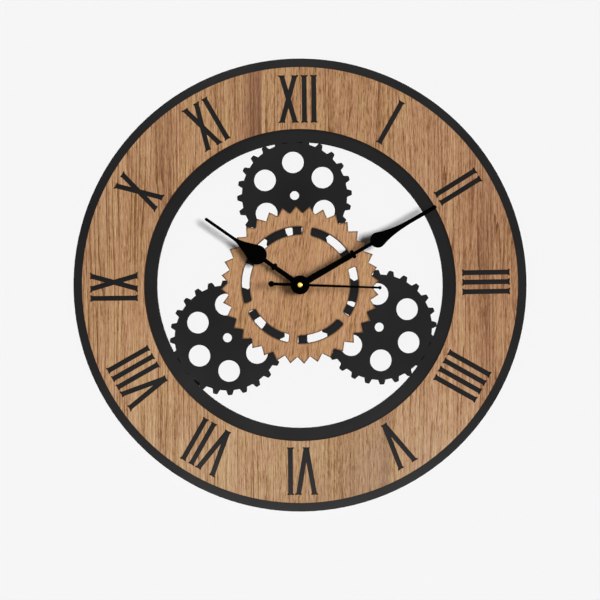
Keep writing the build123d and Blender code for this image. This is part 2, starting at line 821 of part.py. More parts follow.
with BuildPart() as second_wheel:
    with BuildSketch(dial_plane(second_wheel_back)):
        Polygon(*train_outline(second_wheel_teeth, relay_module, 0))
    extrude(amount=wheel_t)
    with BuildSketch(dial_plane(second_wheel_back + wheel_t)):
        Polygon(*train_outline(second_pinion_teeth, third_module, 0))
    extrude(amount=third_wheel_back + pinion_overlap - second_wheel_back)
    with BuildSketch(dial_plane(second_wheel_back)):
        Circle(second_arbor_d / 2 + seat_gap)
    extrude(amount=third_wheel_back + wheel_t + pinion_overlap - second_wheel_back, mode=Mode.SUBTRACT)

with BuildPart() as third_wheel:
    with BuildSketch(dial_plane(third_wheel_back)):
        with Locations(third_axis):
            Polygon(*train_outline(third_wheel_teeth, third_module, third_wheel_turn))
    extrude(amount=wheel_t)
    with BuildSketch(dial_plane(third_wheel_back + wheel_t)):
        with Locations(third_axis):
            Polygon(*train_outline(third_pinion_teeth, centre_module, 0))
    extrude(amount=centre_wheel_back + pinion_overlap - third_wheel_back)
    with BuildSketch(dial_plane(third_cover_boss_front - pivot_depth)):
        with Locations(third_axis):
            Circle(train_arbor_d / 2)
    extrude(amount=third_boss_back - third_cover_boss_front + 2 * pivot_depth)

with BuildPart() as relay_wheel:
    with BuildSketch(dial_plane(relay_wheel_back)):
        with Locations(relay_axis):
            Polygon(*train_outline(relay_wheel_teeth, rotor_module, 0))
    extrude(amount=wheel_t)
    with BuildSketch(dial_plane(relay_wheel_back + wheel_t)):
        with Locations(relay_axis):
            Polygon(*train_outline(relay_pinion_teeth, relay_module, relay_pinion_turn))
    extrude(amount=second_wheel_back + pinion_overlap - relay_wheel_back)
    with BuildSketch(dial_plane(relay_cover_boss_front - pivot_depth)):
        with Locations(relay_axis):
            Circle(train_arbor_d / 2)
    extrude(amount=relay_boss_back - relay_cover_boss_front + 2 * pivot_depth)

with BuildPart() as rotor_pinion:
    with BuildSketch(dial_plane(relay_wheel_back - pinion_overlap)):
        with Locations(rotor_axis):
            Polygon(*train_outline(rotor_pinion_teeth, rotor_module, rotor_pinion_turn))
    extrude(amount=wheel_t + 2 * pinion_overlap)
    with BuildSketch(dial_plane(rotor_cover_boss_front - pivot_depth)):
        with Locations(rotor_axis):
            Circle(train_arbor_d / 2)
    extrude(amount=rotor_boss_back - rotor_cover_boss_front + 2 * pivot_depth)

with BuildPart() as rotor_magnet:
    with BuildSketch(dial_plane(magnet_back)):
        with Locations(rotor_axis):
            Circle(magnet_d / 2)
            Circle(train_arbor_d / 2 + seat_gap, mode=Mode.SUBTRACT)
    extrude(amount=magnet_t)

with BuildPart() as motion_wheel:
    with BuildSketch(dial_plane(motion_wheel_back)):
        with Locations(motion_axis):
            Polygon(*train_outline(motion_wheel_teeth, knob_module, motion_wheel_turn))
    extrude(amount=wheel_t)
    with BuildSketch(dial_plane(motion_wheel_back + wheel_t)):
        with Locations(motion_axis):
            Polygon(*train_outline(motion_pinion_teeth, motion_module, 0))
    extrude(amount=hour_wheel_back - motion_wheel_back)
    with BuildSketch(dial_plane(motion_wheel_back)):
        with Locations(motion_axis):
            Circle(motion_post_d / 2 + running_gap)
    extrude(amount=hour_wheel_back + wheel_t - motion_wheel_back, mode=Mode.SUBTRACT)


# Setting knob: fluted head in its well, shaft, and the pinion that turns the motion wheel
knob_flute = [(knob_d / 2, 0), (knob_d / 2 - knob_flute_depth, 180 / knob_flutes)]
with BuildPart() as setting_knob:
    with BuildSketch(dial_plane(knob_recess)):
        with Locations(knob_axis):
            Polygon(*toothed_outline(knob_flutes, 0, knob_flute))
    extrude(amount=knob_h)
    with BuildSketch(dial_plane(knob_recess + knob_h)):
        with Locations(knob_axis):
            Circle(knob_shaft_d / 2)
    extrude(amount=case_front_inside - layer_gap - knob_recess - knob_h)
    with BuildSketch(dial_plane(motion_wheel_back - pinion_overlap)):
        with Locations(knob_axis):
            Polygon(*train_outline(knob_pinion_teeth, knob_module, knob_pinion_turn))
    extrude(amount=wheel_t + 2 * pinion_overlap)


# Motor: stator plate round the rotor, core bar and wound coil
with BuildPart() as stator:
    with BuildSketch(dial_plane(stator_back)):
        with Locations(rotor_axis):
            Circle(stator_ring_r)
        with Locations((stator_left_x, rotor_axis[1])):
            Rectangle(stator_length, stator_bar_w, align=(Align.MIN, Align.CENTER))
        for post in (post_left, post_right):
            with Locations((post[0], rotor_axis[1])):
                Rectangle(
                    stator_bar_w, core_rise + core_w / 2, align=(Align.CENTER, Align.MIN)
                )
        with Locations(rotor_axis):
            Circle(magnet_d / 2 + stator_gap, mode=Mode.SUBTRACT)
    extrude(amount=stator_t)

with BuildPart() as coil_core:
    with BuildSketch(dial_plane(core_back)):
        with Locations((stator_left_x, coil_z)):
            Rectangle(stator_length + stator_bar_w / 2, core_w, align=(Align.MIN, Align.CENTER))
    extrude(amount=core_t)

coil_plane = Plane.YZ.offset(coil_left_x)
coil_place = (-core_back - core_t / 2, coil_z)
with BuildPart() as coil:
    with BuildSketch(coil_plane):
        with Locations(coil_place):
            RectangleRounded(coil_t - 2 * coil_flange_rise, coil_w - 2 * coil_flange_rise, coil_round)
    extrude(amount=coil_right_x - coil_left_x)
    for flange_x in (coil_left_x, coil_right_x - coil_flange_t):
        with BuildSketch(Plane.YZ.offset(flange_x)):
            with Locations(coil_place):
                RectangleRounded(coil_t, coil_w, coil_round)
        extrude(amount=coil_flange_t)
    with BuildSketch(coil_plane):
        with Locations(coil_place):
            Rectangle(core_t + 2 * seat_gap, core_w + 2 * seat_gap)
    extrude(amount=coil_right_x - coil_left_x, mode=Mode.SUBTRACT)


# Circuit board on the cover's inside, with its crystal can and sealed chip
pcb_left = -case_inside_w / 2 + pcb_edge_gap
pcb_bottom = bay_wall_z + case_wall_t / 2 + contact_t + contact_gap
pcb_front = cover_t + pcb_t
pcb_middle = (pcb_left + pcb_width / 2, pcb_bottom + pcb_height / 2)
crystal_start = (pcb_middle[0], pcb_middle[1] + crystal_rise)
chip_middle = (pcb_middle[0], pcb_middle[1] - chip_drop)

with BuildPart() as circuit_board:
    with BuildSketch(dial_plane(cover_t)):
        with Locations(pcb_middle):
            Rectangle(pcb_width, pcb_height)
    extrude(amount=pcb_t)

with BuildPart() as crystal_can:
    with BuildSketch(Plane.XY.offset(crystal_start[1])):
        with Locations((crystal_start[0], -pcb_front - crystal_d / 2)):
            Circle(crystal_d / 2)
    extrude(amount=crystal_length)

with BuildPart() as chip_cover:
    with BuildSketch(dial_plane(pcb_front)):
        with Locations(chip_middle):
            Circle(chip_d / 2)
    extrude(amount=chip_h)
    chamfer(chip_cover.edges().sort_by(Axis.Y)[0], chip_slope)


# Battery and its two contact strips
nub_end_x = contact_x - contact_gap
battery_place = (-battery_depth, battery_z)
with BuildPart() as battery:
    with BuildSketch(Plane.YZ.offset(nub_end_x - battery_length)):
        with Locations(battery_place):
            Circle(battery_d / 2)
    extrude(amount=battery_length - battery_nub_h)
    with BuildSketch(Plane.YZ.offset(nub_end_x - battery_nub_h)):
        with Locations(battery_place):
            Circle(battery_nub_d / 2)
    extrude(amount=battery_nub_h)

contact_back = pcb_front + contact_gap
contact_foot_z = battery_z - contact_width / 2
run_z = bay_wall_z + case_wall_t / 2
with BuildPart() as positive_contact:
    with BuildSketch(dial_plane(contact_back)):
        with Locations((contact_x, contact_foot_z)):
            Rectangle(contact_t, run_z + contact_t - contact_foot_z, align=(Align.MIN, Align.MIN))
    extrude(amount=battery_depth + contact_width / 2 - contact_back)
    with BuildSketch(dial_plane(contact_back)):
        with Locations((pcb_left + pcb_width / 2, run_z)):
            Rectangle(contact_x - pcb_left - pcb_width / 2, contact_t, align=(Align.MIN, Align.MIN))
    extrude(amount=contact_run_w)

leaf_foot_x = -contact_x
with BuildPart() as negative_contact:
    with BuildSketch(dial_plane(contact_back)):
        with Locations((leaf_foot_x, contact_foot_z)):
            Rectangle(contact_t, pcb_middle[1] - contact_foot_z, align=(Align.MAX, Align.MIN))
    extrude(amount=battery_depth + contact_width / 2 - contact_back)
    with BuildSketch(dial_plane(battery_depth - contact_width / 2)):
        Polygon(
            (leaf_foot_x, battery_z - leaf_reach),
            (leaf_foot_x + leaf_rise, battery_z),
            (leaf_foot_x, battery_z + leaf_reach),
            (leaf_foot_x, battery_z + leaf_reach - 2 * contact_t),
            (leaf_foot_x + leaf_rise - contact_t, battery_z),
            (leaf_foot_x, battery_z - leaf_reach + 2 * contact_t),
        )
    extrude(amount=contact_width)


pieces = {
    "back_board": back_board,
    "dial_ring": dial_ring,
    "centre_gear": centre_gear,
    "hour_hand": hour_hand,
    "minute_hand": minute_hand,
    "second_hand": second_hand,
    "second_cap": second_cap,
    "threaded_bush": threaded_bush,
    "rubber_washer": rubber_washer,
    "brass_washer": brass_washer,
    "lock_nut": lock_nut,
    "movement_case": movement_case,
    "rear_cover": rear_cover,
    "hour_wheel": hour_wheel,
    "minute_pipe": minute_pipe,
    "centre_wheel": centre_wheel,
    "second_arbor": second_arbor,
    "second_wheel": second_wheel,
    "third_wheel": third_wheel,
    "relay_wheel": relay_wheel,
    "rotor_pinion": rotor_pinion,
    "rotor_magnet": rotor_magnet,
    "motion_wheel": motion_wheel,
    "setting_knob": setting_knob,
    "stator": stator,
    "coil_core": coil_core,
    "coil": coil,
    "circuit_board": circuit_board,
    "crystal_can": crystal_can,
    "chip_cover": chip_cover,
    "battery": battery,
    "positive_contact": positive_contact,
    "negative_contact": negative_contact,
}

os.makedirs("parts", exist_ok=True)
for name, piece in pieces.items():
    piece.part.label = name
    export_step(piece.part, f"parts/{name}.step")
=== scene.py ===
# %% [markdown]
# # Wall clock with a gear pattern
# A black board is cut as a ring, three gear discs and a saw-toothed wheel. An oak dial ring and an oak
# wheel are glued to its front, three black hands turn over them, and a small quartz movement with its
# battery sits behind. The solids come from the CAD frame. This lesson gives them their finishes,
# rebuilds the pieces whose real edges are softer than their solids, and sets up camera, wall and lamps.

# %% Load the frame
import json
import math

import bmesh
import bpy
import numpy as np
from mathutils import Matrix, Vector


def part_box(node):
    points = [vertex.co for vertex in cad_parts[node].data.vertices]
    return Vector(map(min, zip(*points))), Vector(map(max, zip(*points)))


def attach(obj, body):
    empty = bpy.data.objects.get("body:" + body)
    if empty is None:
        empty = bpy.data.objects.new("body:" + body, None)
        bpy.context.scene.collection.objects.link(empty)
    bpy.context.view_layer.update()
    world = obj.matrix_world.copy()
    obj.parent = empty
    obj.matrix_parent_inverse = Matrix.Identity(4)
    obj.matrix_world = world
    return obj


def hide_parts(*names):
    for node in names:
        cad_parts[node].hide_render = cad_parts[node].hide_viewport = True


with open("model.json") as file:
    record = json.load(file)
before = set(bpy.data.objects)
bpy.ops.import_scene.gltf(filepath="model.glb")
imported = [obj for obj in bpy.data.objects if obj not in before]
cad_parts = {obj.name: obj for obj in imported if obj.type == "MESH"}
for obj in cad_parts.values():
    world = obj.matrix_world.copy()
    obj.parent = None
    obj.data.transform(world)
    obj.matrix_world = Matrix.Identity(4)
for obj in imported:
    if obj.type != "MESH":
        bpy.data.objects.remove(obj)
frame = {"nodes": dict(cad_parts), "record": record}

MM = 0.001
nodes = frame["nodes"]
scene = bpy.context.scene
scene.view_settings.view_transform = "Standard"
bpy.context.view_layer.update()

# %% [markdown]
# ## Camera
# The picture looks straight at the dial, and the rim is a true circle in it. Round the slots and the
# dial's inner edge a thin dark line shows: the cut walls that face the middle, as a camera a good metre
# away sees them. The clock hangs a little above the middle of the picture, which is done by lowering the
# camera and not by a lens shift.

# %% Camera
VIEW_WIDTH = 661.0 * MM
DIAL_DEPTH = 24.0 * MM
CAMERA_DISTANCE = 1.25
CAMERA_LOW = -16.5 * MM


def aim(obj, place, direction):
    """Puts a camera or lamp at a place and turns its own -Z axis along a direction."""
    obj.location = place
    obj.rotation_euler = Vector(direction).to_track_quat("-Z", "Y").to_euler()
    scene.collection.objects.link(obj)
    return obj


camera_data = bpy.data.cameras.new("camera")
camera_data.sensor_width = 36.0
camera_data.lens = camera_data.sensor_width * CAMERA_DISTANCE / VIEW_WIDTH
camera = bpy.data.objects.new("camera", camera_data)
scene.camera = aim(camera, (0, -DIAL_DEPTH - CAMERA_DISTANCE, CAMERA_LOW), (0, 1, 0))
print("lens in mm:", round(camera_data.lens, 1))

# %% [markdown]
# ## Arithmetic on surfaces
# A finish is a sum of patterns: rings plus pores minus worn edges. Node by node that is hard to read, so
# a small class wraps a node's output and lets Python's own operators add the Math nodes. Any other node
# comes from its method make, which sets the node up first and then fills or links its sockets.

# %% Arithmetic on surfaces
class Signal:
    """A value, colour or direction that changes over a surface: one node's output, with arithmetic."""

    def __init__(self, tree, socket=None):
        self.tree = tree
        self.socket = socket

    def make(self, kind, settings=None, sockets=None, out=0):
        """Adds a node of a kind, first its settings and then the values or links of its sockets."""
        node = self.tree.nodes.new(kind)
        for name, value in (settings or {}).items():
            if name == "stops":
                elements = node.color_ramp.elements
                for place, colour in value[1:-1]:
                    elements.new(place).color = colour
                for element, (place, colour) in ((elements[0], value[0]), (elements[-1], value[-1])):
                    element.position = place
                    element.color = colour
            elif name == "interpolation":
                node.color_ramp.interpolation = value
            else:
                setattr(node, name, value)
        for name, value in (sockets or {}).items():
            if isinstance(value, Signal):
                self.tree.links.new(value.socket, node.inputs[name])
            else:
                node.inputs[name].default_value = value
        return Signal(self.tree, node.outputs[out] if node.outputs else None)

    def math(self, operation, first, second=0.0):
        return self.make("ShaderNodeMath", {"operation": operation}, {0: first, 1: second})

    def __add__(self, other):
        return self.math("ADD", self, other)

    def __sub__(self, other):
        return self.math("SUBTRACT", self, other)

    def __rsub__(self, other):
        return self.math("SUBTRACT", other, self)

    def __mul__(self, other):
        return self.math("MULTIPLY", self, other)

    def __truediv__(self, other):
        return self.math("DIVIDE", self, other)

    def __pow__(self, other):
        return self.math("POWER", self, other)

    def __abs__(self):
        return self.math("ABSOLUTE", self)

    __radd__ = __add__
    __rmul__ = __mul__

    def part(self):
        return self.math("FRACT", self)

    def wave(self):
        """Sine of a count of turns, from 0 to 1."""
        return self.math("SINE", self * (2 * math.pi)) * 0.5 + 0.5

    def step(self, start, end):
        """0 before start, 1 after end and smooth in between."""
        return self.make(
            "ShaderNodeMapRange",
            {"interpolation_type": "SMOOTHSTEP"},
            {"Value": self, "From Min": start, "From Max": end},
        )

    def between(self, low, high):
        """Colour that goes from low to high as this value goes from 0 to 1."""
        return self.make("ShaderNodeMix", {"data_type": "RGBA"}, {0: self, 6: low, 7: high}, out=2)

    def tinted(self, tint):
        """This colour times another, channel by channel."""
        settings = {"data_type": "RGBA", "blend_type": "MULTIPLY"}
        return self.make("ShaderNodeMix", settings, {0: 1.0, 6: self, 7: tint}, out=2)

    def ramp(self, stops, interpolation="LINEAR"):
        return self.make("ShaderNodeValToRGB", {"stops": stops, "interpolation": interpolation}, {0: self})

    def split(self):
        first = self.make("ShaderNodeSeparateXYZ", None, {0: self})
        return [Signal(self.tree, socket) for socket in first.socket.node.outputs]

    def noise(self, size, detail=2.0, shift=(0.0, 0.0, 0.0)):
        """Soft random lumps, 0 to 1, whose size along x, y and z is given in millimetres."""
        scale = tuple(1.0 / (length * MM) for length in size)
        settings = {"operation": "MULTIPLY_ADD"}
        place = self.make("ShaderNodeVectorMath", settings, {0: self, 1: scale, 2: shift})
        return self.make("ShaderNodeTexNoise", None, {"Vector": place, "Scale": 1.0, "Detail": detail})


def srgb(red, green, blue):
    """Colour as picked on a screen, 0 to 255, as the light values that a shader takes."""
    share = np.array([red, green, blue]) / 255
    light = np.where(share <= 0.04045, share / 12.92, ((share + 0.055) / 1.055) ** 2.4)
    return (*light.tolist(), 1.0)


print("a mid brown as light:", [round(value, 3) for value in srgb(188, 143, 98)])

# %% [markdown]
# ## Wall and room
# The clock hangs on a plain pale wall with no visible edge. The wall is one sheet just behind the
# movement. It is clear from behind and to the lamps' shadow rays, so that the back of the clock can be
# looked at and lit. The room is the same pale colour where the camera or a reflection sees it.

# %% Wall and room
PALE = srgb(246, 246, 246)
ROOM_LIGHT = 0.05
WALL_HALF = 4.0
WALL_BEHIND = 0.5 * MM


def light_path(signal, *names):
    """The largest of some of Light Path's answers: 1 where the ray is of one of those kinds."""
    kinds = [signal.make("ShaderNodeLightPath", None, None, out=name) for name in names]
    found = kinds[0]
    for kind in kinds[1:]:
        found = found.math("MAXIMUM", found, kind)
    return found


def make_wall():
    """Flat sheet of one square, facing the camera: x and z from -half to half at one depth."""
    corner = np.array([[-1, 0, -1], [1, 0, -1], [1, 0, 1], [-1, 0, 1]]) * WALL_HALF
    mesh = bpy.data.meshes.new("wall")
    mesh.from_pydata((corner + [0, WALL_BEHIND, 0]).tolist(), [], [(0, 1, 2, 3)])
    wall = bpy.data.objects.new("wall", mesh)
    scene.collection.objects.link(wall)
    material = bpy.data.materials.new("wall_paint")
    material.use_nodes = True
    material.node_tree.nodes.clear()
    paint = Signal(material.node_tree)
    solid = paint.make("ShaderNodeBsdfDiffuse", None, {"Color": PALE})
    clear = paint.make("ShaderNodeBsdfTransparent")
    behind = paint.make("ShaderNodeNewGeometry", out="Backfacing")
    gone = behind.math("MAXIMUM", behind, light_path(paint, "Is Shadow Ray"))
    shown = paint.make("ShaderNodeMixShader", None, {0: gone, 1: solid, 2: clear})
    paint.make("ShaderNodeOutputMaterial", None, {"Surface": shown})
    mesh.materials.append(material)
    return wall


def make_room():
    """World that lights the clock softly and shows as a plain pale room."""
    world = bpy.data.worlds.new("room")
    world.use_nodes = True
    world.node_tree.nodes.clear()
    room = Signal(world.node_tree)
    seen = light_path(room, "Is Camera Ray", "Is Glossy Ray", "Is Transmission Ray")
    colour = seen.between((ROOM_LIGHT, ROOM_LIGHT, ROOM_LIGHT, 1.0), PALE)
    sky = room.make("ShaderNodeBackground", None, {"Color": colour, "Strength": 1.0})
    room.make("ShaderNodeOutputWorld", None, {"Surface": sky})
    scene.world = world


wall = make_wall()
make_room()
print("wall at y =", WALL_BEHIND)

# %% [markdown]
# ## Lamps
# In the picture the hands throw soft shadows to the left, and the wall is evenly bright. A sun lamp
# lights a flat wall evenly and has parallel rays, so suns are used. The picture is a cut-out: on the wall
# there is a shadow of the hands and none of the board. So the wall has a lamp of its own, and the clock
# has a side lamp, a wide front lamp that fills and one behind for whoever walks round it. What each lamp
# lights is sorted out once the hands are made. Wall and dial each get plain daylight once in all,
# together with the room, so a colour looks as it is written.

# %% Lamps
WALL_WAY = (-0.345, 1.0, -0.03)
WALL_WIDTH = 14.5
SIDE_WAY = (-1.35, 1.0, -0.18)
SIDE_WIDTH = 30.0
SIDE_SHARE = 0.72
FRONT_WAY = (-0.05, 1.0, -0.25)
FRONT_WIDTH = 80.0
REAR_WAY = (-0.35, -1.0, -0.45)
REAR_WIDTH = 40.0
REAR_SHARE = 0.60


def sun(name, direction, share, width):
    """Sun lamp whose light, on a surface square to the wall's depth, adds a share of plain daylight."""
    data = bpy.data.lights.new(name, "SUN")
    data.angle = math.radians(width)
    data.energy = math.pi * share / abs(Vector(direction).normalized().y)
    return aim(bpy.data.objects.new(name, data), (0, 0, 0), direction)


wall_lamp = sun("wall_lamp", WALL_WAY, 1 - ROOM_LIGHT, WALL_WIDTH)
side_lamp = sun("side_lamp", SIDE_WAY, SIDE_SHARE, SIDE_WIDTH)
front_lamp = sun("front_lamp", FRONT_WAY, 1 - ROOM_LIGHT - SIDE_SHARE, FRONT_WIDTH)
rear_lamp = sun("rear_lamp", REAR_WAY, REAR_SHARE, REAR_WIDTH)
print("lamps:", [lamp.name for lamp in (wall_lamp, side_lamp, front_lamp, rear_lamp)])

# %% [markdown]
# ## Starting and closing a finish
# Each finish is one material. It starts from the object's own coordinates, which stay fixed to a piece
# when it turns, and it closes with one shader. What is the same all over goes straight onto the shader's
# sockets. Two patterns serve nearly every piece: how near a point is to a cut edge, found by looking
# from the point into its own solid, and whether it lies on a cut side wall, found from the surface normal.

# %% Starting and closing a finish
EDGE_RAYS = 12
finishes = {}


def start(name):
    """New material for a slot of the record: returns the object coordinates, in metres."""
    material = bpy.data.materials.new(name)
    material.use_nodes = True
    material.node_tree.nodes.clear()
    finishes[name] = material
    return Signal(material.node_tree).make("ShaderNodeTexCoord", out="Object")


def close(place, colour, roughness, height=None, lift=0.0, **constants):
    """Puts the patterns on one shader. Height is lifted by so many millimetres as a bump."""
    sockets = {"Base Color": colour, "Roughness": roughness}
    for name, value in constants.items():
        sockets[name.replace("_", " ")] = value
    if height is not None:
        sockets["Normal"] = place.make(
            "ShaderNodeBump", None, {"Strength": 1.0, "Distance": lift * MM, "Height": height}, out="Normal"
        )
    shader = place.make("ShaderNodeBsdfPrincipled", None, sockets)
    place.make("ShaderNodeOutputMaterial", None, {"Surface": shader})


def near_edge(place, reach):
    """1 at a sharp outer edge of the piece and 0 deeper than reach, in millimetres, from it."""
    inside = place.make(
        "ShaderNodeAmbientOcclusion",
        {"inside": True, "only_local": True, "samples": EDGE_RAYS},
        {"Distance": reach * MM},
        out="AO",
    )
    return (1 - inside) * 2.0


def on_wall(place):
    """1 on the cut walls that run along the depth and 0 on faces that look to the front or back."""
    normal = place.make("ShaderNodeTexCoord", out="Normal")
    return 1 - abs(normal.split()[1]).step(0.4, 0.8)


def round_axis(place):
    """Distance from the hands' axis, in millimetres."""
    x, _, z = place.split()
    return (x * x + z * z) ** 0.5 * (1 / MM)


# %% [markdown]
# ## Staves
# The dial ring is a flat oak sheet glued up from staves 55 to 100 mm wide, with upright grain. Each stave
# comes from its own log, so its pattern starts afresh at the glue line and its tone jumps there. A colour
# ramp with constant steps looks up what is known of each stave, three facts to a colour, because that
# takes three nodes however many staves there are.

# %% Staves
SHEET_W = 600.0
LOGS = 8
# of each stave from left to right: left edge in mm, log it was sawn from, how far its rings wander, tone at
# the top, reddish right edge, how far that edge fades towards the foot, strength of the ring lines, tone at
# the foot, how grey the foot is
DIAL_STAVES = (
    (-300.0, 0, 0.20, 0.50, 0.3, 1.0, 0.95, 0.51, 0.0),
    (-212.8, 1, 0.16, 0.50, 0.5, 1.0, 0.85, 0.55, 0.0),
    (-142.3, 2, 0.12, 0.46, 1.0, 1.0, 0.80, 0.55, 0.0),
    (-42.5, 3, 0.20, 0.44, 0.0, 1.0, 0.55, 0.45, 0.1),
    (29.0, 7, 0.16, 0.42, 0.0, 1.0, 0.50, 0.37, 0.3),
    (99.0, 4, 0.30, 0.47, 0.2, 1.0, 0.60, 0.60, 0.1),
    (157.0, 5, 0.20, 0.44, 0.4, 0.0, 0.70, 0.61, 0.0),
    (211.7, 6, 0.55, 0.33, 0.3, 0.2, 0.80, 0.38, 0.0),
)
GEAR_STAVES = ((-300.0, 0, 0.20, 0.48, 0.0, 1.0, 0.40, 0.48, 0.0),)


def stave_facts(across, staves):
    """Facts of each stave as signals that jump at the glue lines: log and right edge, both as shares, then
    the rest of its row. A ramp holds three facts as one colour."""
    left = [row[0] / SHEET_W + 0.5 for row in staves]
    right = left[1:] + [1.0]
    facts = [(row[1] / LOGS, edge, *row[2:]) for row, edge in zip(staves, right)]
    signals = []
    for first in (0, 3, 6):
        stops = [(place, (*row[first:first + 3], 1.0)) for place, row in zip(left, facts)]
        if len(stops) == 1:
            stops = stops * 2
        signals += (across / SHEET_W + 0.5).ramp(stops, "CONSTANT").split()
    return signals


print("glue lines on the dial at", [row[0] for row in DIAL_STAVES[1:]])

# %% [markdown]
# ## Growth rings
# The rings are cut nearly along the log, so they show as lines across the stave that wander slowly, and
# where they wander most they close into long arches. Early wood begins each ring dark and open-pored, and
# finer lines of late wood lie between. A ring is a whole step of one number that grows across the grain,
# so random values added to that number bend and space the rings.

# %% Growth rings
WANDER = 26.0
UNEVEN = 3.0
LATE_PER_RING = 1.83


def ring_lines(grain, across, ring_gap, wander):
    """Early and late wood, as two patterns of lines.
    Ring number = distance across the grain / ring gap + slow random values, one that bends the rings into
    arches and one that spaces them unevenly. Early wood is a power of what is left of the ring:
    (1 - fraction of the ring number) ** 5. Late wood is made in the same way, of more lines to the ring."""
    rings = across / ring_gap + grain.noise((46, 46, 330), 1.0) * wander * WANDER
    rings = rings + grain.noise((11, 11, 400), 2.0, (0.0, 3.7, 8.1)) * UNEVEN
    early = (1 - rings.part()) ** 5 * grain.noise((7, 7, 230), 1.0).step(0.22, 0.66)
    seam = (rings * LATE_PER_RING + grain.noise((8, 8, 260), 1.0, (2.2, 0.0, 6.4)) * UNEVEN).part()
    late = (1 - seam) ** 4 * grain.noise((5, 5, 130), 1.0, (6.1, 0.0, 0.7)).step(0.36, 0.68)
    return early, late


print("lines of late wood to a ring:", LATE_PER_RING)

# %% [markdown]
# ## Oak
# Most of what the eye sees is finer than the rings: hair lines, fibre, short dashes and pores, about a
# millimetre wide. Broad colour goes from straw to rose and reddens to the right, some staves have a
# reddish heart edge, and the sheet is paler and greyer towards its foot. The laser leaves the cut walls
# burnt and a scorched line along their edges, hair-thin on the dial and wider on the wheel. One function
# makes both sheets, since they differ only in numbers.

# %% Oak
LOG_APART = 0.37
STRAW = (1.01, 1.03, 0.96, 1.0)
ROSE = (1.00, 0.96, 1.00, 1.0)
PLAIN = (1.0, 1.0, 1.0, 1.0)
PALE_FOOT_TINT = (1.03, 1.10, 1.17, 1.0)
ASHEN = srgb(158, 134, 118)
HEART = srgb(132, 94, 76)
SCORCHED = srgb(64, 42, 30)
BURNT_WALL = [(0.2, srgb(30, 20, 15)), (0.8, srgb(92, 60, 38))]
# heights in mm between which the tone, the heart edge's fading and the paler foot change
TONE_SPAN = (-190.0, 0.0)
HEART_SPAN = (-140.0, 160.0)
FOOT_SPAN = (-220.0, -60.0)
# distances in mm from a stave's right edge over which its heart edge and its ashen zone run out, and from
# the middle of the sheet over which it grows redder
HEART_W = (5.1, 32.3)
ASHEN_W = (0.0, 80.0)
REDDER = (70.0, 220.0)


def oak(name, staves, tones, lean, ring_gap, fine, scorch, scorch_w):
    """Oak with its grain leaning by degrees from upright, its fibre of a given contrast and a scorched line
    of a given strength and reach in millimetres. All lines and patches add up to one value, which a ramp of
    tones turns into colour, and tints multiply that colour."""
    place = start(name)
    turn = math.radians(lean)
    x, y, z = place.split()
    across = (x * math.cos(turn) - z * math.sin(turn)) * (1 / MM)
    along = x * math.sin(turn) + z * math.cos(turn)
    log, right, wander, tone_top, reddish, fade, lines, tone_foot, grey = stave_facts(across, staves)
    height = along * (1 / MM)
    tone = tone_foot + (tone_top - tone_foot) * height.step(*TONE_SPAN)
    own_log = across * MM + log * (LOGS * LOG_APART)
    grain = place.make("ShaderNodeCombineXYZ", None, {0: own_log, 1: y, 2: along})
    early, late = ring_lines(grain, across, ring_gap, wander)
    broad = grain.noise((26, 26, 240), 2.0, (7.7, 0.0, 1.3))
    streak = grain.noise((4.5, 4.5, 180), 2.0, (1.9, 0.0, 4.2))
    hair = grain.noise((1.2, 1.2, 75), 1.0, (8.4, 0.0, 5.5))
    fibre = grain.noise((0.9, 0.9, 13), 1.0)
    dash = grain.noise((1.1, 1.1, 7.0), 0.0, (5.2, 0.0, 2.8)).step(0.48, 0.78) * (1.4 - lines * 1.1)
    pores = grain.noise((0.6, 0.6, 4.0), 1.0).step(0.54, 0.70) * (early * 0.6 + 0.4)
    to_right = (right - 0.5) * SHEET_W - across
    faded = (1 - height.step(*HEART_SPAN)) * fade
    heart_edge = (1 - to_right.step(*HEART_W)) * reddish * (1 - faded) * (streak * 1.2 + 0.4)
    value = (
        0.68
        + (fibre - 0.5) * fine
        + (hair - 0.5) * lines * 0.7
        + (streak - 0.5) * 0.44
        + (broad - 0.5) * 0.42
        + (tone - 0.5) * 0.8
        - (early * 0.74 + late * 0.44) * lines
        - dash * 0.24
        - pores * 0.45
        - heart_edge * 0.24
    )
    hue = grain.noise((9, 9, 75), 1.0, (3.3, 0.0, 9.1)) + across.step(*REDDER) * 0.2
    low_down = 1 - height.step(*FOOT_SPAN)
    # the colour is tinted paler and greyer towards the foot
    tint = hue.step(0.3, 0.7).between(STRAW, ROSE).tinted(low_down.between(PLAIN, PALE_FOOT_TINT))
    colour = value.ramp(tones).tinted(tint)
    colour = (low_down * grey * (1 - to_right.step(*ASHEN_W))).between(colour, ASHEN)
    colour = (heart_edge * 0.40).between(colour, HEART)
    wall = on_wall(place)
    burnt = near_edge(place, scorch_w).step(0.2, 0.8)
    colour = (burnt * scorch).between(colour, SCORCHED)
    colour = wall.between(colour, grain.noise((0.5, 3.0, 0.5), 2.0).ramp(BURNT_WALL))
    roughness = 0.55 + (fibre - 0.5) * 0.3 + pores * 0.2 + wall * 0.2
    close(place, colour, roughness, early * -0.5 + fibre * 0.4 - pores, 0.03, Specular_IOR_Level=0.06)


